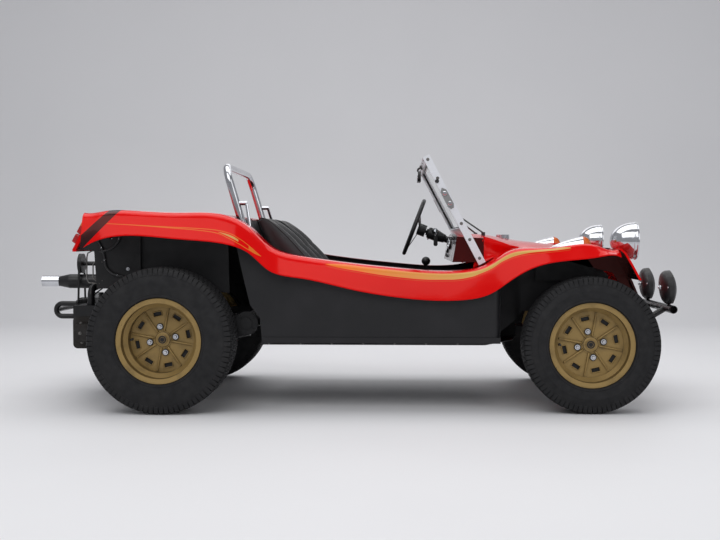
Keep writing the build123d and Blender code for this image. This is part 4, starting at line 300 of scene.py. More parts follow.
def tail_paint(name):
    """Red paint at the tail with its slanted black band down each corner."""
    finish = red_paint(name, 0.25, 0.1, (0.12, 0.3), Coat_Roughness=0.05)
    slant = finish.combine("MULTIPLY", finish.axis("X"), BAND_SLOPE)
    drop = finish.combine("SUBTRACT", finish.axis("Z"), slant)
    level = BAND_EDGE[1] - BAND_SLOPE * (REAR_X + BAND_EDGE[0])
    finish.tint(finish.ranged(drop, level + 0.001, level), srgb(24, 23, 26))
    return finish.material


def dash_paint(name):
    """Red paint on the cowl, with painted shade down its flanks, and black on the instrument panel.
    """
    finish = red_paint(name, 0.22, 0.2, (0.14, 0.3), Coat_Roughness=0.05)
    # Painted shade: dark maroon down the cowl's flanks, beyond the flank edge.
    flank = finish.ranged(finish.combine("ABSOLUTE", finish.axis("Y")), 0.540, 0.543)
    finish.tint(flank, srgb(52, 10, 12))
    finish.tint(finish.ranged(finish.axis("X", True), -0.55, -0.62), srgb(34, 34, 36))
    return finish.material


def satin_black(name, colour, roughness=0.45):
    """Dark paint over glass fibre, with a fine grain and dust in its low places."""
    finish = Finish(name, colour, roughness, Specular_IOR_Level=0.4)
    finish.tint(finish.ranged(finish.noise(6, 6), 0.45, 0.8, 0, 0.3), srgb(44, 42, 46))
    finish.vary_roughness(finish.noise(24, 5), 0.3, 0.7, roughness - 0.08, roughness + 0.14)
    finish.bump(finish.noise(420, 2), 0.0006, 0.35)
    finish.bump(finish.noise(14, 2), 0.001, 0.25)
    return finish.material


def bright_metal(name, colour, roughness, smudge):
    """Plated metal with faint smudges."""
    finish = Finish(name, colour, roughness, 1.0)
    finish.tint(finish.ranged(finish.noise(11, 5), 0.45, 0.75, 0, smudge), srgb(120, 120, 124))
    finish.vary_roughness(finish.noise(30, 5), 0.35, 0.7, roughness, roughness + 0.12)
    finish.bump(finish.noise(40, 1), 0.0001, 0.05)
    return finish.material


def brushed_metal(name, colour, roughness, metallic, stretch):
    """Metal with fine lines along one direction."""
    finish = Finish(name, colour, roughness, metallic)
    lines = finish.noise(60, 4, stretch)
    finish.tint(finish.ranged(lines, 0.4, 0.7, 0, 0.3), tuple(0.7 * part for part in colour))
    finish.vary_roughness(lines, 0.3, 0.7, roughness - 0.08, roughness + 0.15)
    finish.bump(lines, 0.0002, 0.4)
    return finish.material


def cast_metal(name, colour, metallic, roughness):
    """Sand-cast metal with a coarse skin, oil stains and dull dust."""
    finish = Finish(name, colour, roughness, metallic)
    finish.tint(finish.ranged(finish.noise(14, 6), 0.5, 0.75, 0, 0.6), srgb(48, 42, 36))
    finish.vary_roughness(finish.noise(30, 4), 0.3, 0.7, roughness - 0.1, roughness + 0.2)
    finish.bump(finish.noise(260, 3), 0.0008, 0.5)
    finish.bump(finish.cells(90), 0.0008, 0.25)
    return finish.material


def wheel_paint(name):
    """Dull gold wheel paint with brake dust, small chips and painted shade on the faces that do not
    look along the axle.
    """
    finish = Finish(name, srgb(150, 124, 74), 0.42, 0.35)
    finish.tint(finish.ranged(finish.noise(16, 5), 0.5, 0.78, 0, 0.55), srgb(92, 76, 48))
    finish.tint(finish.ranged(finish.noise(150, 2), 0.72, 0.76), srgb(66, 58, 44))
    # Painted shade: darker on the faces that do not look along the axle, such as the barrel and the
    # walls of the slots and ribs.
    across = finish.combine("ABSOLUTE", finish.axis("Y", True))
    finish.tint(finish.ranged(across, 0.55, 0.25, 0, 0.6), srgb(74, 60, 36))
    finish.vary_roughness(finish.noise(22, 4), 0.3, 0.7, 0.34, 0.55)
    finish.bump(finish.noise(300, 2), 0.0003, 0.4)
    return finish.material


def tyre_rubber(name):
    """Grey-black rubber, dusty where it meets the road."""
    finish = Finish(name, srgb(24, 24, 26), 0.7, Specular_IOR_Level=0.35)
    finish.tint(finish.ranged(finish.noise(9, 6), 0.42, 0.75, 0, 0.4), srgb(40, 39, 39))
    finish.tint(finish.ranged(finish.noise(120, 3), 0.6, 0.8, 0, 0.3), srgb(58, 56, 54))
    finish.vary_roughness(finish.noise(30, 4), 0.3, 0.7, 0.62, 0.85)
    finish.bump(finish.noise(500, 2), 0.0005, 0.4)
    return finish.material


def grained_vinyl(name):
    """Black vinyl with a pebbled grain and a soft shine on its crowns."""
    finish = Finish(name, srgb(30, 30, 32), 0.42, Specular_IOR_Level=0.45)
    finish.tint(finish.ranged(finish.noise(7, 5), 0.45, 0.75, 0, 0.5), srgb(46, 46, 50))
    finish.vary_roughness(finish.noise(18, 4), 0.3, 0.7, 0.36, 0.56)
    grain = finish.cells(520, "DISTANCE_TO_EDGE")
    finish.bump(finish.ranged(grain, 0, 0.22), 0.0005, 0.6)
    finish.bump(finish.noise(24, 3), 0.0012, 0.35)
    return finish.material


def moulded(name, colour, roughness):
    """Plain moulded plastic or rubber with a fine texture."""
    finish = Finish(name, colour, roughness)
    finish.tint(finish.ranged(finish.noise(18, 5), 0.45, 0.75, 0, 0.3), srgb(58, 58, 60))
    finish.vary_roughness(finish.noise(40, 4), 0.3, 0.7, roughness - 0.1, roughness + 0.1)
    finish.bump(finish.cells(700), 0.0003, 0.4)
    return finish.material


def clear_glass(name):
    """Thin clear pane with faint wiper haze."""
    finish = Finish(name, (0.94, 0.97, 0.96), 0.02, Transmission_Weight=1.0, IOR=1.45)
    finish.vary_roughness(finish.noise(5, 6, (1, 4, 1)), 0.45, 0.8, 0.01, 0.09)
    return finish.material


def fluted_lens(name, colour, depth, upper=None, split=0.0):
    """Moulded lens with narrow flutes, in another colour above a height."""
    finish = Finish(name, colour, 0.12, Transmission_Weight=0.4, IOR=1.49)
    finish.tint(finish.ranged(finish.noise(30, 3), 0.4, 0.8, 0, 0.3),
                tuple(0.6 * part for part in colour))
    if upper:
        finish.tint(finish.ranged(finish.axis("Z"), split, split + 0.001), upper)
    finish.bump(finish.waves(60, "Y"), depth, 0.6)
    finish.bump(finish.waves(60, "Z"), depth, 0.4)
    return finish.material


MATERIALS = {
    "body_red": gel_coat("gel_coat_red", False),
    "black_panel": satin_black("panel_black", srgb(18, 18, 21)),
    "chassis_black": satin_black("chassis_paint", srgb(17, 17, 19), 0.5),
    "chrome": bright_metal("chrome_plate", (0.60, 0.61, 0.64), 0.06, 0.35),
    "frame_alloy": brushed_metal("alloy_section", (0.84, 0.85, 0.89), 0.40, 0.55, (1, 1, 14)),
    "cast_alloy": cast_metal("cast_alloy", srgb(150, 150, 150), 0.85, 0.5),
    "steel": cast_metal("plain_steel", srgb(120, 118, 116), 0.9, 0.42),
    "cast_iron": cast_metal("cast_iron", srgb(52, 50, 49), 0.6, 0.6),
    "wheel_gold": wheel_paint("wheel_gold"),
    "tyre": tyre_rubber("tyre_rubber"),
    "vinyl": grained_vinyl("seat_vinyl"),
    "glass": clear_glass("clear_glass"),
    "lens_amber": fluted_lens("amber_lens", srgb(236, 118, 14), 0.0008),
    "lens_red": fluted_lens("red_lens", srgb(186, 10, 14), 0.0008),
    "black_plastic": moulded("black_plastic", srgb(26, 26, 28), 0.45),
    "black_metal": satin_black("black_enamel", srgb(18, 18, 20), 0.34),
}


def dress_frame():
    """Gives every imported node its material."""
    chosen = {part["node"]: MATERIALS[part["material_slot"]]
              for part in frame["record"]["subparts"]}
    chosen["body_shell"] = gel_coat("gel_coat_striped", True)
    chosen["hood"] = gel_coat("gel_coat_hood", False)
    chosen["tail_corners"] = tail_paint("tail_paint")
    chosen["cowl"] = dash_paint("dash_paint")
    amber_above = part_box("tail_lamps")[0].z + AMBER_START
    chosen["tail_lamps"] = fluted_lens("tail_lens", srgb(196, 10, 14), 0.0008,
                                       srgb(240, 120, 16), amber_above)
    for name, node in NODES.items():
        node.data.materials.clear()
        node.data.materials.append(chosen[name])


def make_piece(name, vertices, faces, slot, body="chassis"):
    """A smooth mesh piece that rides on a body and takes its finish from a slot."""
    mesh = bpy.data.meshes.new(name)
    mesh.from_pydata(vertices, [], faces)
    mesh.validate()
    piece = bpy.data.objects.new(name, mesh)
    bpy.context.scene.collection.objects.link(piece)
    mesh.materials.append(MATERIALS[slot])
    mesh.shade_smooth()
    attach(piece, body)
    return piece


def face_out(mesh):
    """Turns the faces of closed forms outward."""
    shape = bmesh.new()
    shape.from_mesh(mesh)
    bmesh.ops.recalc_face_normals(shape, faces=shape.faces)
    shape.to_mesh(mesh)
    shape.free()


def rounded(half_wide, half_high, radius, steps):
    """Points (across, up) round a rectangle, the halves measured to its corners' centres."""
    return [
        (a * half_wide + radius * math.cos(math.pi / 2 * (corner + step / steps)),
         b * half_high + radius * math.sin(math.pi / 2 * (corner + step / steps)))
        for corner, (a, b) in enumerate(((1, 1), (-1, 1), (-1, -1), (1, -1)))
        for step in range(steps + 1)
    ]


SHARP = math.radians(35)


class Form:
    """Points and faces gathered for one piece."""

    def __init__(self):
        self.points = []
        self.faces = []

    def turned(self, place, axis, outline, sides=20, open_ends=False):
        """Solid turned about an axis, from rows of (distance along it, radius)."""
        axis = Vector(axis).normalized()
        across = axis.orthogonal().normalized()
        up = axis.cross(across)
        start, rows = len(self.points), len(outline)
        for along, radius in outline:
            for step in range(sides):
                angle = TURN * step / sides
                out = across * math.cos(angle) + up * math.sin(angle)
                self.points.append(Vector(place) + axis * along + out * radius)
        for row in range(rows if open_ends else rows - 1):
            base, after = start + row * sides, start + (row + 1) % rows * sides
            for step in range(sides):
                turn = (step + 1) % sides
                self.faces.append((base + step, base + turn, after + turn, after + step))
        if not open_ends:
            last = start + (rows - 1) * sides
            self.faces.append(tuple(range(start + sides - 1, start - 1, -1)))
            self.faces.append(tuple(range(last, last + sides)))

    def loop(self, place, axis, radius, thickness, sides=32):
        """Round ring about an axis."""
        outline = [
            (thickness * math.sin(TURN * step / 8), radius + thickness * math.cos(TURN * step / 8))
            for step in range(8)
        ]
        self.turned(place, axis, outline, sides, True)

    def plate(self, corners, offset):
        """Flat plate of the given corners, thickened along an offset."""
        start, count = len(self.points), len(corners)
        self.points += [Vector(corner) for corner in corners]
        self.points += [Vector(corner) + Vector(offset) for corner in corners]
        self.faces.append(tuple(range(start + count - 1, start - 1, -1)))
        self.faces.append(tuple(range(start + count, start + 2 * count)))
        for step in range(count):
            turn = (step + 1) % count
            self.faces.append(
                (start + step, start + turn, start + count + turn, start + count + step)
            )

    def bolt(self, place, axis, radius, height):
        """Hexagon head on a washer."""
        self.turned(place, axis, ((0, radius * 1.5), (height * 0.25, radius * 1.45)), 16)
        head = ((0, radius), (height * 0.85, radius), (height, radius * 0.8))
        self.turned(place, axis, head, 6)

    def stud(self, place, axis, radius, height):
        """Low domed head."""
        outline = [(height * math.sin(t), radius * math.cos(t)) for t in (0, 0.5, 1.0, 1.4)]
        self.turned(place, axis, outline, 12)

    def piece(self, name, slot, body="chassis"):
        """Makes the gathered form one piece, its faces turned outward and its edges crisp."""
        piece = make_piece(name, self.points, self.faces, slot, body)
        face_out(piece.data)
        piece.data.set_sharp_from_angle(angle=SHARP)


TYRE_BEAD = 0.1903
TYRE_STEPS = 144
TREAD_PITCHES = 84
RIM_LIP = 0.0103


def tread_profile(radius, width, rim_half):
    """Half outline of a tyre, from the middle of the tread to the bead: (across, radius)."""
    half = width / 2
    bead = TYRE_BEAD
    return (
        (0.0, radius - 0.006), (half * 0.4, radius - 0.0064), (half * 0.72, radius - 0.0075),
        (half - 0.020, radius - 0.0145), (half - 0.0098, radius - 0.028),
        (half - 0.0062, radius - 0.045), (half - 0.0045, radius - 0.053),
        (half - 0.0035, radius - 0.058), (half - 0.001, radius - 0.075),
        (half, (radius + bead) / 2), (half - 0.003, bead + 0.045),
        (half - 0.0045, bead + 0.034), (half - 0.002, bead + 0.031),
        (half - 0.002, bead + 0.025), (half - 0.009, bead + 0.020),
        (rim_half + 0.001, bead + 0.019), (rim_half - 0.001, bead + 0.001),
        (rim_half - 0.022, bead + 0.0005),
    )


def make_tyre(axle, side_name):
    """Road tyre with blocks across its tread and rings on its walls."""
    node = f"tyre_{axle}_{side_name}"
    low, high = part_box(node)
    centre = (low + high) / 2
    radius = (high.z - low.z) / 2
    width = high.y - low.y
    rim_low, rim_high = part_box(f"rim_{axle}_{side_name}")
    rim_half = (rim_high.y - rim_low.y) / 2 - RIM_LIP
    half_outline = tread_profile(radius, width, rim_half)
    outline = [(-across, out) for across, out in reversed(half_outline)]
    outline += list(half_outline[1:])
    vertices, faces = [], []

    def ring_point(across, out, angle):
        return (
            centre.x + out * math.cos(angle), centre.y + across,
            centre.z + out * math.sin(angle),
        )

    rows = len(outline)
    for step in range(TYRE_STEPS):
        angle = TURN * step / TYRE_STEPS
        vertices += [ring_point(across, out, angle) for across, out in outline]
    for step in range(TYRE_STEPS):
        base, after = step * rows, (step + 1) % TYRE_STEPS * rows
        for row in range(rows - 1):
            faces.append((base + row, base + row + 1, after + row + 1, after + row))

    half = width / 2
    pitch = TURN / TREAD_PITCHES

    def block(corners, top_out, root_out, squeeze):
        """One tread block: four corners (across, angle), raised from the root."""
        start = len(vertices)
        middle_across = sum(corner[0] for corner in corners) / 4
        middle_angle = sum(corner[1] for corner in corners) / 4
        for across, angle in corners:
            vertices.append(ring_point(across, root_out(across), angle))
        for across, angle in corners:
            across = middle_across + (across - middle_across) * squeeze
            angle = middle_angle + (angle - middle_angle) * squeeze
            vertices.append(ring_point(across, top_out(across), angle))
        for corner in range(4):
            after = (corner + 1) % 4
            faces.append((start + corner, start + after, start + 4 + after, start + 4 + corner))
        faces.append((start + 4, start + 5, start + 6, start + 7))

    def crown(across):
        share = abs(across) / half
        return radius - 0.0005 - 0.006 * share ** 4

    def root(across):
        share = abs(across) / half
        return radius - 0.010 - 0.008 * share ** 4

    # Columns: start and end across the tread as shares of its half width, turn of the block
    tread_rows = (
        (-0.13, 0.13, 0.0), (0.18, 0.45, 0.28), (-0.45, -0.18, -0.28), (0.50, 0.76, 0.5),
        (-0.76, -0.50, -0.5),
    )
    for index in range(TREAD_PITCHES):
        for start, end, shift in tread_rows:
            angle = pitch * (index + shift)
            skew = pitch * 0.22 * (1 if start >= 0 else -1)
            corners = (
                (start * half, angle), (end * half, angle + skew),
                (end * half, angle + skew + pitch * 0.84), (start * half, angle + pitch * 0.84),
            )
            block(corners, crown, root, 0.94)
        for sign in (1, -1):
            angle = pitch * (index + 0.1)
            start = len(vertices)
            shoulder = (
                (0.80 * half, radius - 0.0035), (0.905 * half, radius - 0.0095),
                (half - 0.0075, radius - 0.023), (half - 0.0057, radius - 0.038),
            )
            under = (
                (0.80 * half, radius - 0.018), (0.90 * half, radius - 0.024),
                (half - 0.020, radius - 0.030), (half - 0.012, radius - 0.047),
            )
            for turn in (0.0, 0.80):
                for across, out in (*shoulder, *under):
                    vertices.append(ring_point(sign * across, out, angle + pitch * turn))
            for step in range(3):
                near, far = start + step, start + 8 + step
                faces.append((near, near + 1, far + 1, far))
                for edge in (start, start + 8):
                    faces.append((edge + step, edge + step + 1, edge + step + 5, edge + step + 4))
            faces.append((start, start + 8, start + 12, start + 4))
            faces.append((start + 3, start + 11, start + 15, start + 7))
    tyre = make_piece(f"road_{node}", vertices, faces, "tyre", f"wheel_{axle}_{side_name}")
    face_out(tyre.data)
    tyre.data.set_sharp_from_angle(angle=SHARP)
    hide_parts(node)


SEAT_MIDDLE = 0.327
# Columns, x forward of the rear axle and height: the bolsters' crown, the panel between them,
# and the back
SEAT_ROWS = (
    (0.452, 0.962, 0.462, 0.958, 0.446, 0.944), (0.496, 0.956, 0.510, 0.932, 0.462, 0.900),
    (0.552, 0.926, 0.560, 0.866, 0.492, 0.828), (0.612, 0.882, 0.608, 0.790, 0.528, 0.752),
    (0.674, 0.824, 0.656, 0.714, 0.564, 0.676), (0.736, 0.758, 0.704, 0.640, 0.602, 0.598),
    (0.794, 0.684, 0.754, 0.568, 0.640, 0.516), (0.848, 0.614, 0.812, 0.510, 0.684, 0.430),
    (0.914, 0.568, 0.890, 0.484, 0.752, 0.352), (0.990, 0.546, 0.972, 0.480, 0.860, 0.334),
    (1.066, 0.534, 1.054, 0.478, 0.990, 0.332), (1.132, 0.524, 1.126, 0.472, 1.100, 0.332),
    (1.176, 0.502, 1.176, 0.450, 1.176, 0.342),
)
SEAT_STEPS = 112
# Columns: distance from the seat's middle, height from the panel (0) up to the crown (1) or
# down to the back (-1)
SEAT_RING = (
    *((0.011 * step, 0.0) for step in range(11)), (0.120, 0.01),
    (0.129, 0.03), (0.137, 0.08), (0.142, 0.16), (0.148, 0.32), (0.154, 0.52), (0.160, 0.72),
    (0.168, 0.88), (0.177, 0.96), (0.186, 0.95), (0.193, 0.86), (0.198, 0.70), (0.200, 0.48),
    (0.201, 0.24), (0.201, 0.00), (0.201, -0.20), (0.200, -0.40), (0.198, -0.60),
    (0.194, -0.80), (0.184, -0.94), (0.168, -1.00), (0.135, -1.00), (0.090, -1.00),
    (0.045, -1.00), (0.000, -1.00),
)
SEAT_SEAM = 14
SEAT_PIPING = 22
SEAT_CHANNEL = 9
PAD_PRESSURE = 4.0
PAD_REACH = 0.013


def smooth_rows(rows, count):
    """Rows sampled along a smooth curve through the given ones."""
    def at(index):
        return rows[max(0, min(index, len(rows) - 1))]

    found = []
    for step in range(count):
        place = step / (count - 1) * (len(rows) - 1)
        index = min(int(place), len(rows) - 2)
        t = place - index
        found.append(tuple(
            0.5 * (2 * b + (c - a) * t + (2 * a - 5 * b + 4 * c - d) * t * t
                   + (3 * b - a - 3 * c + d) * t ** 3)
            for a, b, c, d in zip(at(index - 1), at(index), at(index + 1), at(index + 2))
        ))
    return found


def swell(piece, held, reach):
    """Fills a closed cover with air as cloth, its held points fixed, moving no point further."""
    group = piece.vertex_groups.new(name="held")
    group.add(held, 1.0, "REPLACE")
    cloth = piece.modifiers.new("swell", "CLOTH")
    cloth.settings.use_pressure = True
    cloth.settings.uniform_pressure_force = PAD_PRESSURE
    cloth.settings.effector_weights.gravity = 0
    cloth.settings.vertex_group_mass = "held"
    cloth.collision_settings.use_collision = False
    for step in range(1, 21):
        bpy.context.scene.frame_set(step)
    shaped = piece.evaluated_get(bpy.context.evaluated_depsgraph_get())
    places = [vertex.co.copy() for vertex in shaped.data.vertices]
    piece.modifiers.remove(cloth)
    bpy.context.scene.frame_set(1)
    for vertex, place in zip(piece.data.vertices, places):
        move = place - vertex.co
        vertex.co += move * min(1.0, reach / max(move.length, 1e-9))


def tube(name, runs, radius, slot, body="chassis", sides=8, closed=False):
    """Round cords or rods along runs of points, as one piece."""
    vertices, faces = [], []
    for run in runs:
        points = [Vector(point) for point in run]
        count = len(points)
        start = len(vertices)
        side = None
        for index, point in enumerate(points):
            before = points[index - 1] if closed or index else point
            after = points[(index + 1) % count] if closed or index < count - 1 else point
            along = (after - before).normalized()
            if side is None:
                side = along.orthogonal().normalized()
            side = (side - along * side.dot(along)).normalized()
            up = along.cross(side)
            for step in range(sides):
                angle = TURN * step / sides
                vertices.append(point + radius * (side * math.cos(angle) + up * math.sin(angle)))
        for index in range(count if closed else count - 1):
            base, after = start + index * sides, start + (index + 1) % count * sides
            for step in range(sides):
                turn = (step + 1) % sides
                faces.append((base + step, base + turn, after + turn, after + step))
        if not closed:
            faces.append(tuple(range(start + sides - 1, start - 1, -1)))
            last = start + (count - 1) * sides
            faces.append(tuple(range(last, last + sides)))
    make_piece(name, vertices, faces, slot, body)


def make_seat(side_name, side):
    """Padded bucket seat: bolsters, a channelled panel and piping along both edges."""
    ring = list(SEAT_RING)
    ring += [(-across, level) for across, level in reversed(SEAT_RING[1:-1])]
    around = len(ring)
    half = len(SEAT_RING)
    vertices, faces, held = [], [], []
    middle = side * SEAT_MIDDLE
    for station, row in enumerate(smooth_rows(SEAT_ROWS, SEAT_STEPS)):
        crown, panel, back = Vector(row[0:2]), Vector(row[2:4]), Vector(row[4:6])
        end = min(station, SEAT_STEPS - 1 - station)
        narrow = (0.90, 0.955, 0.98, 0.99)[min(end, 3)]
        for index, (across, level) in enumerate(ring):
            place = panel.lerp(crown, level) if level > 0 else panel.lerp(back, -level)
            channel = station % SEAT_CHANNEL == 0 and 14 <= station <= SEAT_STEPS - 8
            seam = index in (SEAT_SEAM, around - SEAT_SEAM)
            inside = index <= SEAT_SEAM or index >= around - SEAT_SEAM
            if seam or channel and inside or level < -0.3 or end == 0:
                held.append(len(vertices))
            dip = 0.004 if seam or channel and inside else 0.0
            vertices.append((
                REAR_X + place.x - dip * 0.6, middle + across * narrow, place.y - dip * 0.8
            ))
    for station in range(SEAT_STEPS - 1):
        base = station * around
        for index in range(around):
            turn = (index + 1) % around
            faces.append((base + index, base + turn, base + around + turn, base + around + index))
    for station, order in ((0, -1), (SEAT_STEPS - 1, 1)):
        base = station * around
        top, low = base, base + half - 1
        for index in range(half - 1):
            left, right = base + index, base + index + 1
            far, near = base + (around - index) % around, base + around - index - 1
            corners = (left, right, near, far) if index else (left, right, near)
            if index == half - 2:
                corners = (left, right, far)
            faces.append(corners[::order])
    seat = make_piece(f"pads_seat_{side_name}", vertices, faces, "vinyl")
    face_out(seat.data)
    swell(seat, held, PAD_REACH)
    points = [vertex.co.copy() for vertex in seat.data.vertices]
    runs = []
    for index in (SEAT_SEAM, around - SEAT_SEAM, SEAT_PIPING, around - SEAT_PIPING):
        runs.append([points[station * around + index] for station in range(2, SEAT_STEPS - 1)])
    tube(f"piping_seat_{side_name}", runs, 0.0028, "vinyl")
    smoother = seat.modifiers.new("smooth", "SUBSURF")
    smoother.levels = smoother.render_levels = 1
    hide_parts(f"seat_{side_name}")


# Rows: the disc's face out from the middle of the car
WHEEL_FACES = {"front": 0.6475, "rear": 0.699}
SLOT_TURN = math.radians(12)
NUT_CIRCLE = 0.065


def dress_wheel(axle, side_name, side):
    """Slot frames, rounded ribs, nuts, cap ring, dark backing, the cap's dark centre, painted shade
    round the nuts and the cap's foot, and valve of one wheel.
    """
    low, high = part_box(f"rim_{axle}_{side_name}")
    centre = (low + high) / 2
    face = WHEEL_FACES[axle]
    body = f"wheel_{axle}_{side_name}"
    out = (0, side, 0)

    def at(radius, angle, level):
        return Vector((centre.x + radius * math.cos(angle), side * (face + level),
                       centre.z - side * radius * math.sin(angle)))

    backing = Form()
    backing.turned((centre.x, side * (face - 0.0095), centre.z), out,
                   ((0, 0.1195), (0, 0.150), (0.001, 0.150), (0.001, 0.1195)), 48, True)
    backing.piece(f"wheel_backing_{axle}_{side_name}", "chassis_black", body)
    frames, ribs = [], []
    for index in range(8):
        angle = SLOT_TURN + TURN * index / 8
        middle = at(0.128, angle, 0.0005)
        away = (at(0.140, angle, 0.0005) - middle).normalized()
        along = away.cross(Vector(out))
        frames.append([middle + away * a + along * b
                       for a, b in rounded(0.0075, 0.0175, 0.005, 3)])
        turn = angle + TURN / 16
        ribs.append([at(radius, turn, level) for radius, level in (
            (0.040, 0.0055), (0.060, 0.0060), (0.090, 0.0060), (0.120, 0.0055), (0.146, 0.0030),
            (0.157, -0.0010),
        )])
    tube(f"slot_frames_{axle}_{side_name}", frames, 0.0028, "wheel_gold", body, 8, True)
    tube(f"wheel_ribs_{axle}_{side_name}", ribs, 0.0052, "wheel_gold", body, 10)
    nuts = Form()
    for index in range(4):
        angle = SLOT_TURN + TURN * index / 4
        nuts.bolt(at(NUT_CIRCLE, angle, 0.0074), out, 0.0088, 0.0135)
    nuts.piece(f"wheel_nuts_{axle}_{side_name}", "chrome", body)
    cap = Form()
    cap.loop(at(0, 0, 0.019), out, 0.0215, 0.0022)
    cap.loop(at(0, 0, 0.019), out, 0.0120, 0.0015)
    cap.turned(at(0, 0, 0.0068), out, ((0, 0.036), (0.003, 0.036), (0.005, 0.032)), 32)
    cap.piece(f"cap_ring_{axle}_{side_name}", "wheel_gold", body)
    # Dark discs: the cap's own dark centre, and painted shade round each nut and round the cap's
    # foot.
    dark = Form()
    dark.turned(at(0, 0, 0.0188), out, ((0, 0.0200), (0.0010, 0.0200), (0.0014, 0.0190)), 28)
    for index in range(4):
        angle = SLOT_TURN + TURN * index / 4
        dark.turned(at(NUT_CIRCLE, angle, 0.0066), out, ((0, 0.0168), (0.0010, 0.0164)), 20)
    dark.loop(at(0, 0, 0.0072), out, 0.0372, 0.0012)
    dark.piece(f"wheel_recesses_{axle}_{side_name}", "chassis_black", body)
    valve = Form()
    valve.turned(at(0.151, math.pi, -0.001), out,
                 ((0, 0.0065), (0.008, 0.0065), (0.010, 0.004), (0.030, 0.004),
                  (0.030, 0.0048), (0.040, 0.0048), (0.041, 0.003)), 12)
    valve.piece(f"valve_{axle}_{side_name}", "black_plastic", body)


PANEL_INSIDE = 0.6568
PANEL_THICK = 0.0049
ARCH_INSIDE = 0.405
LINER_THICK = 0.003
LINER_INSIDE = 0.520
# Corners of the plate that closes each side panel's rear: x from the rear axle and height
PANEL_CORNER = (
    (0.426, 0.526), (0.431, 0.560), (0.530, 0.474), (0.677, 0.438), (0.922, 0.384),
    (1.010, 0.360), (1.010, 0.338), (0.485, 0.338), (0.475, 0.461),
)
# Edges of the red surface beside the hood: x from the front axle, half width and height
VALLEY_TOP = (
    (-0.516, 0.546, 0.850), (-0.516, 0.500, 0.857), (-0.516, 0.450, 0.862),
    (-0.515, 0.402, 0.864), (-0.480, 0.401, 0.852), (-0.440, 0.4005, 0.840),
    (-0.402, 0.400, 0.828), (-0.365, 0.400, 0.820), (-0.325, 0.400, 0.812),
)
VALLEY_FOOT = (
    (-0.566, 0.546, 0.708), (-0.532, 0.512, 0.722), (-0.504, 0.482, 0.736),
    (-0.475, 0.452, 0.750), (-0.450, 0.426, 0.762), (-0.428, 0.404, 0.772),
    (-0.402, 0.398, 0.784), (-0.365, 0.398, 0.797), (-0.325, 0.398, 0.808),
)
# Corners of the lining in each front arch: x from the front axle and height
ARCH_LINER = ((-0.24, 0.640), (-0.24, 0.755), (0.02, 0.755), (0.06, 0.700), (0.06, 0.640))
VALLEY_STEPS = 9


def make_fillers(side_name, side):
    """Closes the side panel's rear corner, lines the front arch and fills the hood's valley."""
    corner = Form()
    corner.plate([(REAR_X + x, side * PANEL_INSIDE, z) for x, z in PANEL_CORNER],
                 (0, side * PANEL_THICK, 0))
    corner.piece(f"panel_corner_{side_name}", "black_panel")
    arch = Form()
    arch.plate([(FRONT_X + x, side * ARCH_INSIDE, z) for x, z in ARCH_LINER],
               (0, side * LINER_THICK, 0))
    arch.piece(f"arch_liner_{side_name}", "chassis_black")
    top = smooth_rows(VALLEY_TOP, 25)
    foot = smooth_rows(VALLEY_FOOT, 25)
    vertices, faces = [], []
    for upper, lower in zip(top, foot):
        for step in range(VALLEY_STEPS):
            share = step / (VALLEY_STEPS - 1)
            sag = 0.028 * 4 * share * (1 - share)
            x, y, z = (a + (b - a) * share for a, b in zip(upper, lower))
            vertices.append((FRONT_X + x - sag * 0.4, side * (y - sag * 0.3), z - sag * 0.8))
    for column in range(len(top) - 1):
        for step in range(VALLEY_STEPS - 1):
            base = column * VALLEY_STEPS + step
            faces.append((base, base + 1, base + VALLEY_STEPS + 1, base + VALLEY_STEPS))
    valley = make_piece(f"valley_{side_name}", vertices, faces, "body_red")
    thick = valley.modifiers.new("thick", "SOLIDIFY")
    thick.thickness = LINER_THICK


# Columns along a windscreen post from its foot and across it, of the bracket's corners
BRACKET = (
    (0.058, 0.0), (0.040, 0.016), (-0.040, 0.017), (-0.058, 0.008), (-0.058, -0.008),
    (-0.040, -0.017), (0.040, -0.016),
)
RAKE = math.radians(27.7)
SCREEN_UP = Vector((-math.sin(RAKE), 0, math.cos(RAKE)))
SCREEN_OUT = Vector((math.cos(RAKE), 0, math.sin(RAKE)))
SCREEN_FOOT = Vector((FRONT_X - 0.524, 0, 0.730))
PANE_MIDDLE = 0.3915
POST_SIDE = 0.5745


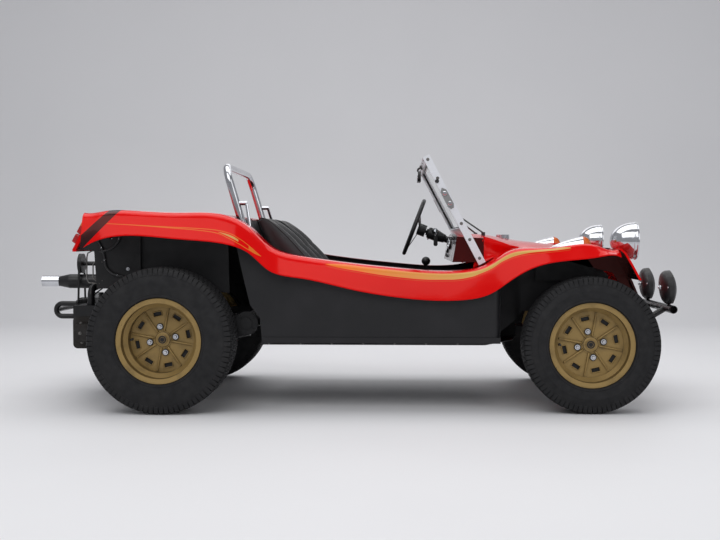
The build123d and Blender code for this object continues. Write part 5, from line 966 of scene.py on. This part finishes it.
def dress_windscreen():
    """Bolts, brackets, knobs and buttons of the windscreen's alloy frame, and the pane's seal."""
    bolts, plates, knobs, buttons = Form(), Form(), Form(), Form()
    for _, side in SIDES:
        out = (0, side, 0)
        for along in (0.030, 0.135, 0.225, 0.480, 0.585):
            place = SCREEN_FOOT + SCREEN_UP * along + Vector((0, side * POST_SIDE, 0))
            bolts.bolt(place, out, 0.0055, 0.006)
        middle = Vector((REAR_X + 1.400, side * 0.5748, 1.056))
        plates.plate([middle + SCREEN_UP * along + SCREEN_OUT * across
                      for along, across in BRACKET], (0, side * 0.005, 0))
        for along in (0.026, -0.030):
            knobs.turned(middle + SCREEN_UP * along + Vector((0, side * 0.004, 0)), out,
                         ((0, 0.011), (0.003, 0.011), (0.004, 0.007), (0.007, 0.007),
                          (0.008, 0.010), (0.016, 0.010), (0.018, 0.008)), 18)
        buttons.turned((REAR_X + 1.350, side * POST_SIDE, 1.140), out,
                       ((0, 0.010), (0.006, 0.010), (0.008, 0.0075)), 18)
    for along in (0.012, 0.593):
        for across in (-0.52, -0.30, -0.10, 0.10, 0.30, 0.52):
            place = SCREEN_FOOT + SCREEN_UP * along + Vector((0, across, 0))
            bolts.stud(place + SCREEN_OUT * 0.018, SCREEN_OUT, 0.0055, 0.003)
            bolts.stud(place - SCREEN_OUT * 0.018, -SCREEN_OUT, 0.0055, 0.003)
    bolts.piece("screen_bolts", "steel")
    corners = [SCREEN_FOOT + SCREEN_UP * (PANE_MIDDLE + up) + Vector((0, across, 0))
               for across, up in rounded(0.535, 0.1735, 0.010, 4)]
    seals = [[corner + SCREEN_OUT * level for corner in corners] for level in (-0.005, 0.005)]
    tube("screen_seal", seals, 0.0034, "black_plastic", "chassis", 8, True)
    plates.piece("screen_brackets", "cast_alloy")
    knobs.piece("screen_knobs", "chrome")
    buttons.piece("screen_buttons", "black_plastic")


def touch(node, start, direction):
    """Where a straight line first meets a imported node."""
    found, place, _, _ = NODES[node].ray_cast(Vector(start), Vector(direction))
    if not found:
        raise ValueError(f"no surface of {node} from {start}")
    return place


# Rows: place across the car, height above the panel's foot and radius of each instrument
GAUGES = ((0.195, 0.080, 0.042), (0.110, 0.086, 0.026), (0.045, 0.086, 0.026),
          (-0.020, 0.086, 0.026))
SWITCHES = (0.235, 0.150, 0.110, 0.070)
DASH_LEAN = math.radians(10)
DASH_FOOT = Vector((FRONT_X - 0.671, 0, 0.736))
DASH_UP = Vector((math.sin(DASH_LEAN), 0, math.cos(DASH_LEAN)))
DASH_OUT = Vector((-math.cos(DASH_LEAN), 0, math.sin(DASH_LEAN)))


def dress_dash():
    """Bezels, dials, marks and needles of the instruments, switch collars and panel screws."""
    rings, dials, marks, needles = Form(), Form(), Form(), Form()
    for y, up, radius in GAUGES:
        middle = DASH_FOOT + DASH_UP * up + Vector((0, y, 0))
        rings.loop(middle + DASH_OUT * 0.0088, DASH_OUT, radius - 0.0022, 0.0022, 36)
        dials.turned(middle + DASH_OUT * 0.0038, DASH_OUT,
                     ((0, radius - 0.0045), (0.0012, radius - 0.0045)), 36)
        count = 13 if radius > 0.03 else 7
        for index in range(count):
            angle = math.radians(-135 + 270 * index / (count - 1))
            ray = DASH_UP * math.cos(angle) + Vector((0, math.sin(angle), 0))
            wide = ray.cross(DASH_OUT) * 0.0007
            inner = middle + DASH_OUT * 0.0049 + ray * (radius * 0.66)
            outer = middle + DASH_OUT * 0.0049 + ray * (radius * 0.80)
            marks.plate([inner - wide, inner + wide, outer + wide, outer - wide],
                        DASH_OUT * 0.0005)
        ray = DASH_UP * math.cos(-2.0) + Vector((0, math.sin(-2.0), 0))
        wide = ray.cross(DASH_OUT) * 0.0010
        hub = middle + DASH_OUT * 0.0052
        tip = hub + ray * (radius * 0.62)
        needles.plate([hub - ray * 0.004 - wide, hub - ray * 0.004 + wide, tip + wide * 0.3,
                       tip - wide * 0.3], DASH_OUT * 0.0008)
        needles.turned(hub, DASH_OUT, ((0, 0.0032), (0.0018, 0.0028)), 12)
    for y in SWITCHES:
        rings.loop(DASH_FOOT + DASH_UP * 0.026 + DASH_OUT * 0.0015 + Vector((0, y, 0)),
                   DASH_OUT, 0.0112, 0.0018, 24)
    screws = Form()
    for y in (-0.48, -0.30, -0.12, 0.42, 0.50):
        place = touch("cowl", DASH_FOOT + DASH_UP * 0.105 + Vector((-0.2, y, 0)), (1, 0, 0))
        screws.stud(place, DASH_OUT, 0.0045, 0.0025)
    rings.piece("gauge_bezels", "chrome")
    dials.piece("gauge_dials", "black_plastic")
    marks.piece("gauge_marks", "frame_alloy")
    needles.piece("gauge_needles", "lens_amber")
    screws.piece("dash_screws", "chrome")


STEER_DIP = math.radians(21)
STEER_AXIS = Vector((math.cos(STEER_DIP), 0, -math.sin(STEER_DIP)))
STEER_MIDDLE = Vector((REAR_X + 1.2475, 0.305, 0.9205))


def dress_steering():
    """Horn button and ring, rim stitching, column shroud, stalk, and the key with its fob."""
    across = Vector((0, 1, 0))
    up = across.cross(STEER_AXIS)
    horn = Form()
    horn.turned(STEER_MIDDLE + STEER_AXIS * 0.031, -STEER_AXIS,
                ((0, 0.030), (0.004, 0.030), (0.007, 0.026), (0.009, 0.016), (0.0095, 0.002)), 28)
    horn.piece("horn_button", "black_plastic", "steering_wheel")
    badge = Form()
    badge.loop(STEER_MIDDLE + STEER_AXIS * 0.0275, -STEER_AXIS, 0.0295, 0.0016)
    for index in range(6):
        angle = TURN * index / 6
        place = STEER_MIDDLE + STEER_AXIS * 0.0305
        place += (across * math.cos(angle) + up * math.sin(angle)) * 0.0335
        badge.turned(place, -STEER_AXIS, ((0, 0.0026), (0.0045, 0.0026)), 8)
    badge.piece("horn_ring", "chrome", "steering_wheel")
    stitches = Form()
    for index in range(48):
        angle = TURN * index / 48
        ray = across * math.cos(angle) + up * math.sin(angle)
        stitches.loop(STEER_MIDDLE + ray * 0.149, ray.cross(STEER_AXIS), 0.0110, 0.0008, 10)
    stitches.piece("wheel_stitching", "vinyl", "steering_wheel")
    shroud = Form()
    shroud.turned(STEER_MIDDLE + STEER_AXIS * 0.083, STEER_AXIS,
                  ((0, 0.024), (0.003, 0.030), (0.010, 0.033), (0.060, 0.033), (0.085, 0.027),
                   (0.105, 0.0235), (0.108, 0.018)), 28)
    shroud.turned(STEER_MIDDLE + STEER_AXIS * 0.120 - up * 0.012 - across * 0.010,
                  (-across - up * 0.35).normalized(),
                  ((0, 0.016), (0.034, 0.016), (0.038, 0.014)), 20)
    shroud.piece("column_shroud", "black_plastic")
    base = STEER_MIDDLE + STEER_AXIS * 0.112
    tube("turn_stalk", [[
        base + up * 0.012 + across * 0.024, base + up * 0.020 + across * 0.060,
        base + up * 0.030 + across * 0.100 - STEER_AXIS * 0.008,
        base + up * 0.036 + across * 0.125 - STEER_AXIS * 0.012,
    ]], 0.0042, "black_plastic", sides=10)
    lock = STEER_MIDDLE + STEER_AXIS * 0.120 - across * 0.048 - up * 0.026
    keys = Form()
    keys.turned(lock, (-across - up * 0.35).normalized(), ((0, 0.011), (0.006, 0.011)), 20)
    blade = lock + Vector((0, -0.004, 0))
    keys.plate([blade + Vector((-0.0012, 0, 0.009)), blade + Vector((-0.0012, -0.016, 0.007)),
                blade + Vector((-0.0012, -0.030, 0.010)), blade + Vector((-0.0012, -0.032, -0.012)),
                blade + Vector((-0.0012, -0.014, -0.010)), blade + Vector((-0.0012, 0, -0.004))],
               (0.0024, 0, 0))
    ring = blade + Vector((0, -0.024, -0.022))
    keys.loop(ring, (1, 0.3, 0), 0.011, 0.0009, 24)
    keys.piece("ignition_key", "chrome")
    fob = Form()
    hang = ring + Vector((0, 0, -0.010))
    fob.plate([hang + Vector((x, -0.002, z)) for x, z in (
        (-0.004, 0.0), (0.004, 0.0), (0.011, -0.014), (0.012, -0.050), (0.007, -0.058),
        (-0.007, -0.058), (-0.012, -0.050), (-0.011, -0.014))], (0, 0.004, 0))
    fob.piece("key_fob", "black_plastic")


def dress_lamps():
    """Headlight bezels with their screws, driving lamp screws and the mirror's face."""
    bezels, screws = Form(), Form()
    for _, side in SIDES:
        face = Vector((FRONT_X + 0.245, side * 0.500, 0.843))
        bezels.loop(face - Vector((0.003, 0, 0)), (1, 0, 0), 0.0915, 0.0045, 48)
        bezels.loop(face - Vector((0.020, 0, 0)), (1, 0, 0), 0.0925, 0.0012, 48)
        screws.bolt(face + Vector((0.002, 0, -0.091)), (1, 0, 0), 0.004, 0.004)
        lamp = Vector((FRONT_X + 0.475, side * 0.250, 0.600))
        for across in (-0.084, 0.084):
            place = touch("driving_lamps", lamp + Vector((-0.2, across, 0)), (1, 0, 0))
            screws.stud(place, (-1, 0, 0), 0.006, 0.004)
        place = touch("driving_lamps", lamp + Vector((-0.3, 0, 0)), (1, 0, 0))
        screws.bolt(place, (-1, 0, 0), 0.009, 0.012)
    bezels.piece("headlight_bezels", "chrome")
    screws.piece("lamp_screws", "chrome")
    mirror = Form()
    back = Vector((REAR_X + 1.261, 0, 1.191))
    mirror.plate([back + Vector((0, across, up))
                  for across, up in rounded(0.069, 0.002, 0.022, 6)], (-0.0015, 0, 0))
    mirror.piece("mirror_glass", "chrome")


HOSE_RADIUS = 0.006
ROD_RADIUS = 0.0035
LEAD_RADIUS = 0.0038
# Corners of the dark lining under each tail corner: x from the rear axle and height
TAIL_LINER = (
    (-0.470, 0.800), (-0.405, 0.930), (-0.150, 0.930), (-0.150, 0.600), (-0.375, 0.600),
    (-0.388, 0.796),
)


def dress_tail(side_name, side):
    """Dark lining, two hoses with clips, two rods and the lamp's studs at one tail corner."""
    liner = Form()
    liner.plate([(REAR_X + x, side * LINER_INSIDE, z) for x, z in TAIL_LINER],
                (0, side * LINER_THICK, 0))
    liner.piece(f"tail_liner_{side_name}", "chassis_black")

    def at(x, y, z):
        return (REAR_X + x, side * y, z)

    hoses = (
        (at(-0.378, 0.519, 0.868), at(-0.370, 0.530, 0.850), at(-0.348, 0.531, 0.812),
         at(-0.334, 0.531, 0.765), at(-0.326, 0.531, 0.715), at(-0.294, 0.531, 0.678),
         at(-0.240, 0.530, 0.662), at(-0.222, 0.519, 0.652)),
        (at(-0.246, 0.519, 0.892), at(-0.250, 0.530, 0.874), at(-0.266, 0.531, 0.832),
         at(-0.300, 0.531, 0.802), at(-0.345, 0.530, 0.790), at(-0.362, 0.519, 0.788)),
    )
    tube(f"tail_hoses_{side_name}", [smooth_rows(hose, 33) for hose in hoses], HOSE_RADIUS,
         "black_plastic", sides=10)
    rods = (
        (at(-0.330, 0.522, 0.790), at(-0.345, 0.510, 0.791), at(-0.400, 0.508, 0.792),
         at(-0.424, 0.508, 0.780), at(-0.429, 0.508, 0.760), at(-0.430, 0.508, 0.650),
         at(-0.420, 0.508, 0.630), at(-0.375, 0.510, 0.625), at(-0.360, 0.522, 0.625)),
        (at(-0.345, 0.522, 0.735), at(-0.360, 0.514, 0.735), at(-0.388, 0.514, 0.735),
         at(-0.396, 0.514, 0.722), at(-0.396, 0.514, 0.655), at(-0.384, 0.514, 0.640),
         at(-0.360, 0.514, 0.640), at(-0.345, 0.522, 0.640)),
    )
    tube(f"tail_rods_{side_name}", rods, ROD_RADIUS, "steel")
    clips = Form()
    for x, z, axis in ((-0.3305, 0.745, (0.1, 0, 1)), (-0.267, 0.668, (1, 0, -0.2)),
                       (-0.3465, 0.808, (0.35, 0, -1)), (-0.257, 0.853, (0.35, 0, 1))):
        clips.loop(at(x, 0.531, z), axis, 0.0068, 0.0014, 18)
    for x, z in ((-0.355, 0.874), (-0.338, 0.874), (-0.300, 0.858), (-0.215, 0.700)):
        clips.bolt(at(x, 0.523, z), (0, side, 0), 0.006, 0.008)
    clips.piece(f"tail_clips_{side_name}", "chrome")
    lamp = (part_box("tail_lamps")[0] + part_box("tail_lamps")[1]) / 2
    bolts = Form()
    for z in (0.86, 0.93):
        place = touch("tail_panel", (lamp.x - 0.4, side * 0.43, z), (1, 0, 0))
        bolts.stud(place, (-0.88, 0, 0.47), 0.005, 0.003)
    bolts.piece(f"tail_studs_{side_name}", "chrome")


TORSION_COVER = Vector((-0.5015, 0, 0.430))


def dress_sill(side_name, side):
    """Bolt heads under the sill and round the torsion cover."""
    bolts = Form()
    for index in range(7):
        x = REAR_X + 0.52 + 0.155 * index
        place = touch(f"side_panel_{side_name}", (x, side * 0.6605, 0.2), (0, 0, 1))
        bolts.bolt(place, (0, 0, -1), 0.0042, 0.007)
    for index in range(4):
        angle = math.radians(45 + 90 * index)
        ray = Vector((math.cos(angle), 0, math.sin(angle)))
        start = TORSION_COVER + ray * 0.044 + Vector((0, side * 0.9, 0))
        place = touch("torsion_housing", start, (0, -side, 0))
        bolts.bolt(place, (0, side, 0), 0.007, 0.009)
    bolts.piece(f"sill_bolts_{side_name}", "steel")


def dress_cabin():
    """Tunnel screws and the gear lever's boot in the cockpit."""
    screws = Form()
    for x in (-0.20, 0.0, 0.20):
        for y in (-0.055, 0.055):
            place = touch("floorpan", (x, y, 0.62), (0, 0, -1))
            screws.stud(place, (0, 0, 1), 0.005, 0.003)
    screws.piece("tunnel_screws", "steel")
    boot = Form()
    foot = touch("floorpan", (REAR_X + 1.359, 0, 0.70), (0, 0, -1))
    outline = []
    for step in range(9):
        share = step / 8
        outline.append((0.062 * share, 0.046 - 0.030 * share + 0.0035 * (-1) ** step))
    boot.turned(foot, (0, 0, 1), outline, 28)
    boot.piece("gear_boot", "vinyl")


def dress_engine():
    """Plug leads, distributor and bolts on the engine."""
    leads, caps, bolts = [], Form(), Form()
    top = touch("engine_case", (-1.30, 0.060, 1.2), (0, 0, -1))
    caps.turned(top, (0, 0, 1), ((0, 0.026), (0.030, 0.026), (0.034, 0.033), (0.052, 0.033),
                                 (0.062, 0.026), (0.066, 0.010)), 24)
    for side in (1, -1):
        for x in (-1.375, -1.165):
            foot = touch("cylinders", (x, side * 0.30, 1.0), (0, 0, -1))
            caps.turned(foot, (0, 0, 1), ((0, 0.012), (0.010, 0.012), (0.014, 0.008),
                                          (0.040, 0.008)), 14)
            start = top + Vector((0.012 if x > -1.3 else -0.012, side * 0.016, 0.060))
            end = foot + Vector((0, 0, 0.038))
            lift = Vector((0, 0, 0.070))
            bend = (start + end) / 2 + lift
            leads.append(smooth_rows((start, start + lift, bend, end + lift * 0.6, end), 17))
    tube("plug_leads", leads, LEAD_RADIUS, "black_plastic")
    caps.piece("distributor", "black_plastic")
    for y in (-0.24, -0.12, 0.12, 0.24):
        place = touch("fan_housing", (-1.7, y, 0.70), (1, 0, 0))
        bolts.bolt(place, (-1, 0, 0), 0.006, 0.006)
    for _, side in SIDES:
        for z in (0.31, 0.36, 0.41):
            for x in (-1.40, -1.14):
                place = touch("cylinders", (x, side * 0.6, z), (0, -side, 0))
                bolts.bolt(place, (0, side, 0), 0.006, 0.007)
    bolts.piece("engine_bolts", "steel")


def make_stage():
    """Pale floor that sweeps up into a pale backdrop."""
    reach, depth, rise, bend = 14.0, 7.0, 7.0, 2.0
    profile = [(-9.0, 0.0), (depth - bend, 0.0)]
    for step in range(1, 13):
        angle = math.pi / 2 * step / 12
        profile.append((depth - bend + bend * math.sin(angle), bend - bend * math.cos(angle)))
    profile.append((depth, rise))
    vertices = [(x, y, z) for x in (-reach, reach) for y, z in profile]
    count = len(profile)
    faces = [(i, i + 1, count + i + 1, count + i) for i in range(count - 1)]
    mesh = bpy.data.meshes.new("floor")
    mesh.from_pydata(vertices, [], faces)
    floor = bpy.data.objects.new("floor", mesh)
    bpy.context.scene.collection.objects.link(floor)
    mesh.shade_smooth()
    finish = Finish("pale_floor", srgb(226, 226, 228), 0.6)
    finish.tint(finish.ranged(finish.noise(0.7, 3), 0.4, 0.7, 0, 0.2), srgb(216, 216, 219))
    finish.bump(finish.noise(60, 3), 0.0005, 0.1)
    mesh.materials.append(finish.material)


def add_light(name, place, aim, size, power):
    """Soft rectangular lamp aimed at a point."""
    data = bpy.data.lights.new(name, "AREA")
    data.shape = "RECTANGLE"
    data.size, data.size_y = size
    data.energy = power
    lamp = bpy.data.objects.new(name, data)
    lamp.location = place
    lamp.rotation_euler = (Vector(aim) - Vector(place)).to_track_quat("-Z", "Y").to_euler()
    bpy.context.scene.collection.objects.link(lamp)


def make_lights():
    """Large soft lamps overhead and at both sides, and a pale even sky."""
    add_light("key", (-1.5, -5.5, 5.6), (0, 0, 0.4), (7.0, 4.5), 205)
    add_light("fill", (5.0, -5.0, 3.6), (0.6, 0, 0.5), (4.0, 4.0), 55)
    add_light("top", (0, 0.4, 5.6), (0, 0, 0), (7.0, 4.0), 180)
    add_light("back", (0.5, 5.0, 4.2), (0, 0, 0.5), (6.0, 3.0), 60)
    world = bpy.data.worlds.new("sky")
    bpy.context.scene.world = world
    world.use_nodes = True
    background = world.node_tree.nodes["Background"]
    background.inputs["Color"].default_value = (0.95, 0.96, 1.0, 1)
    background.inputs["Strength"].default_value = 0.38


def make_camera():
    """Camera at the photograph's place and angle."""
    data = bpy.data.cameras.new("camera")
    data.sensor_width = SENSOR_WIDTH
    data.lens = FOCAL_PIXELS * SENSOR_WIDTH / FRAME_WIDTH
    camera = bpy.data.objects.new("camera", data)
    bpy.context.scene.collection.objects.link(camera)
    forward = Vector((
        math.sin(CAMERA_YAW) * math.cos(CAMERA_PITCH),
        math.cos(CAMERA_YAW) * math.cos(CAMERA_PITCH), math.sin(CAMERA_PITCH),
    ))
    camera.location = CAMERA_PLACE
    camera.rotation_euler = forward.to_track_quat("-Z", "Y").to_euler()
    bpy.context.scene.camera = camera
    bpy.context.scene.view_settings.view_transform = "Standard"


make_camera()
make_lights()
make_stage()
dress_frame()
for axle_name in AXLES:
    for side_label, _ in SIDES:
        make_tyre(axle_name, side_label)
for side_label, side_sign in SIDES:
    for axle_name in AXLES:
        dress_wheel(axle_name, side_label, side_sign)
    make_seat(side_label, side_sign)
    make_fillers(side_label, side_sign)
    dress_tail(side_label, side_sign)
    dress_sill(side_label, side_sign)
dress_windscreen()
dress_dash()
dress_steering()
dress_lamps()
dress_engine()
dress_cabin()
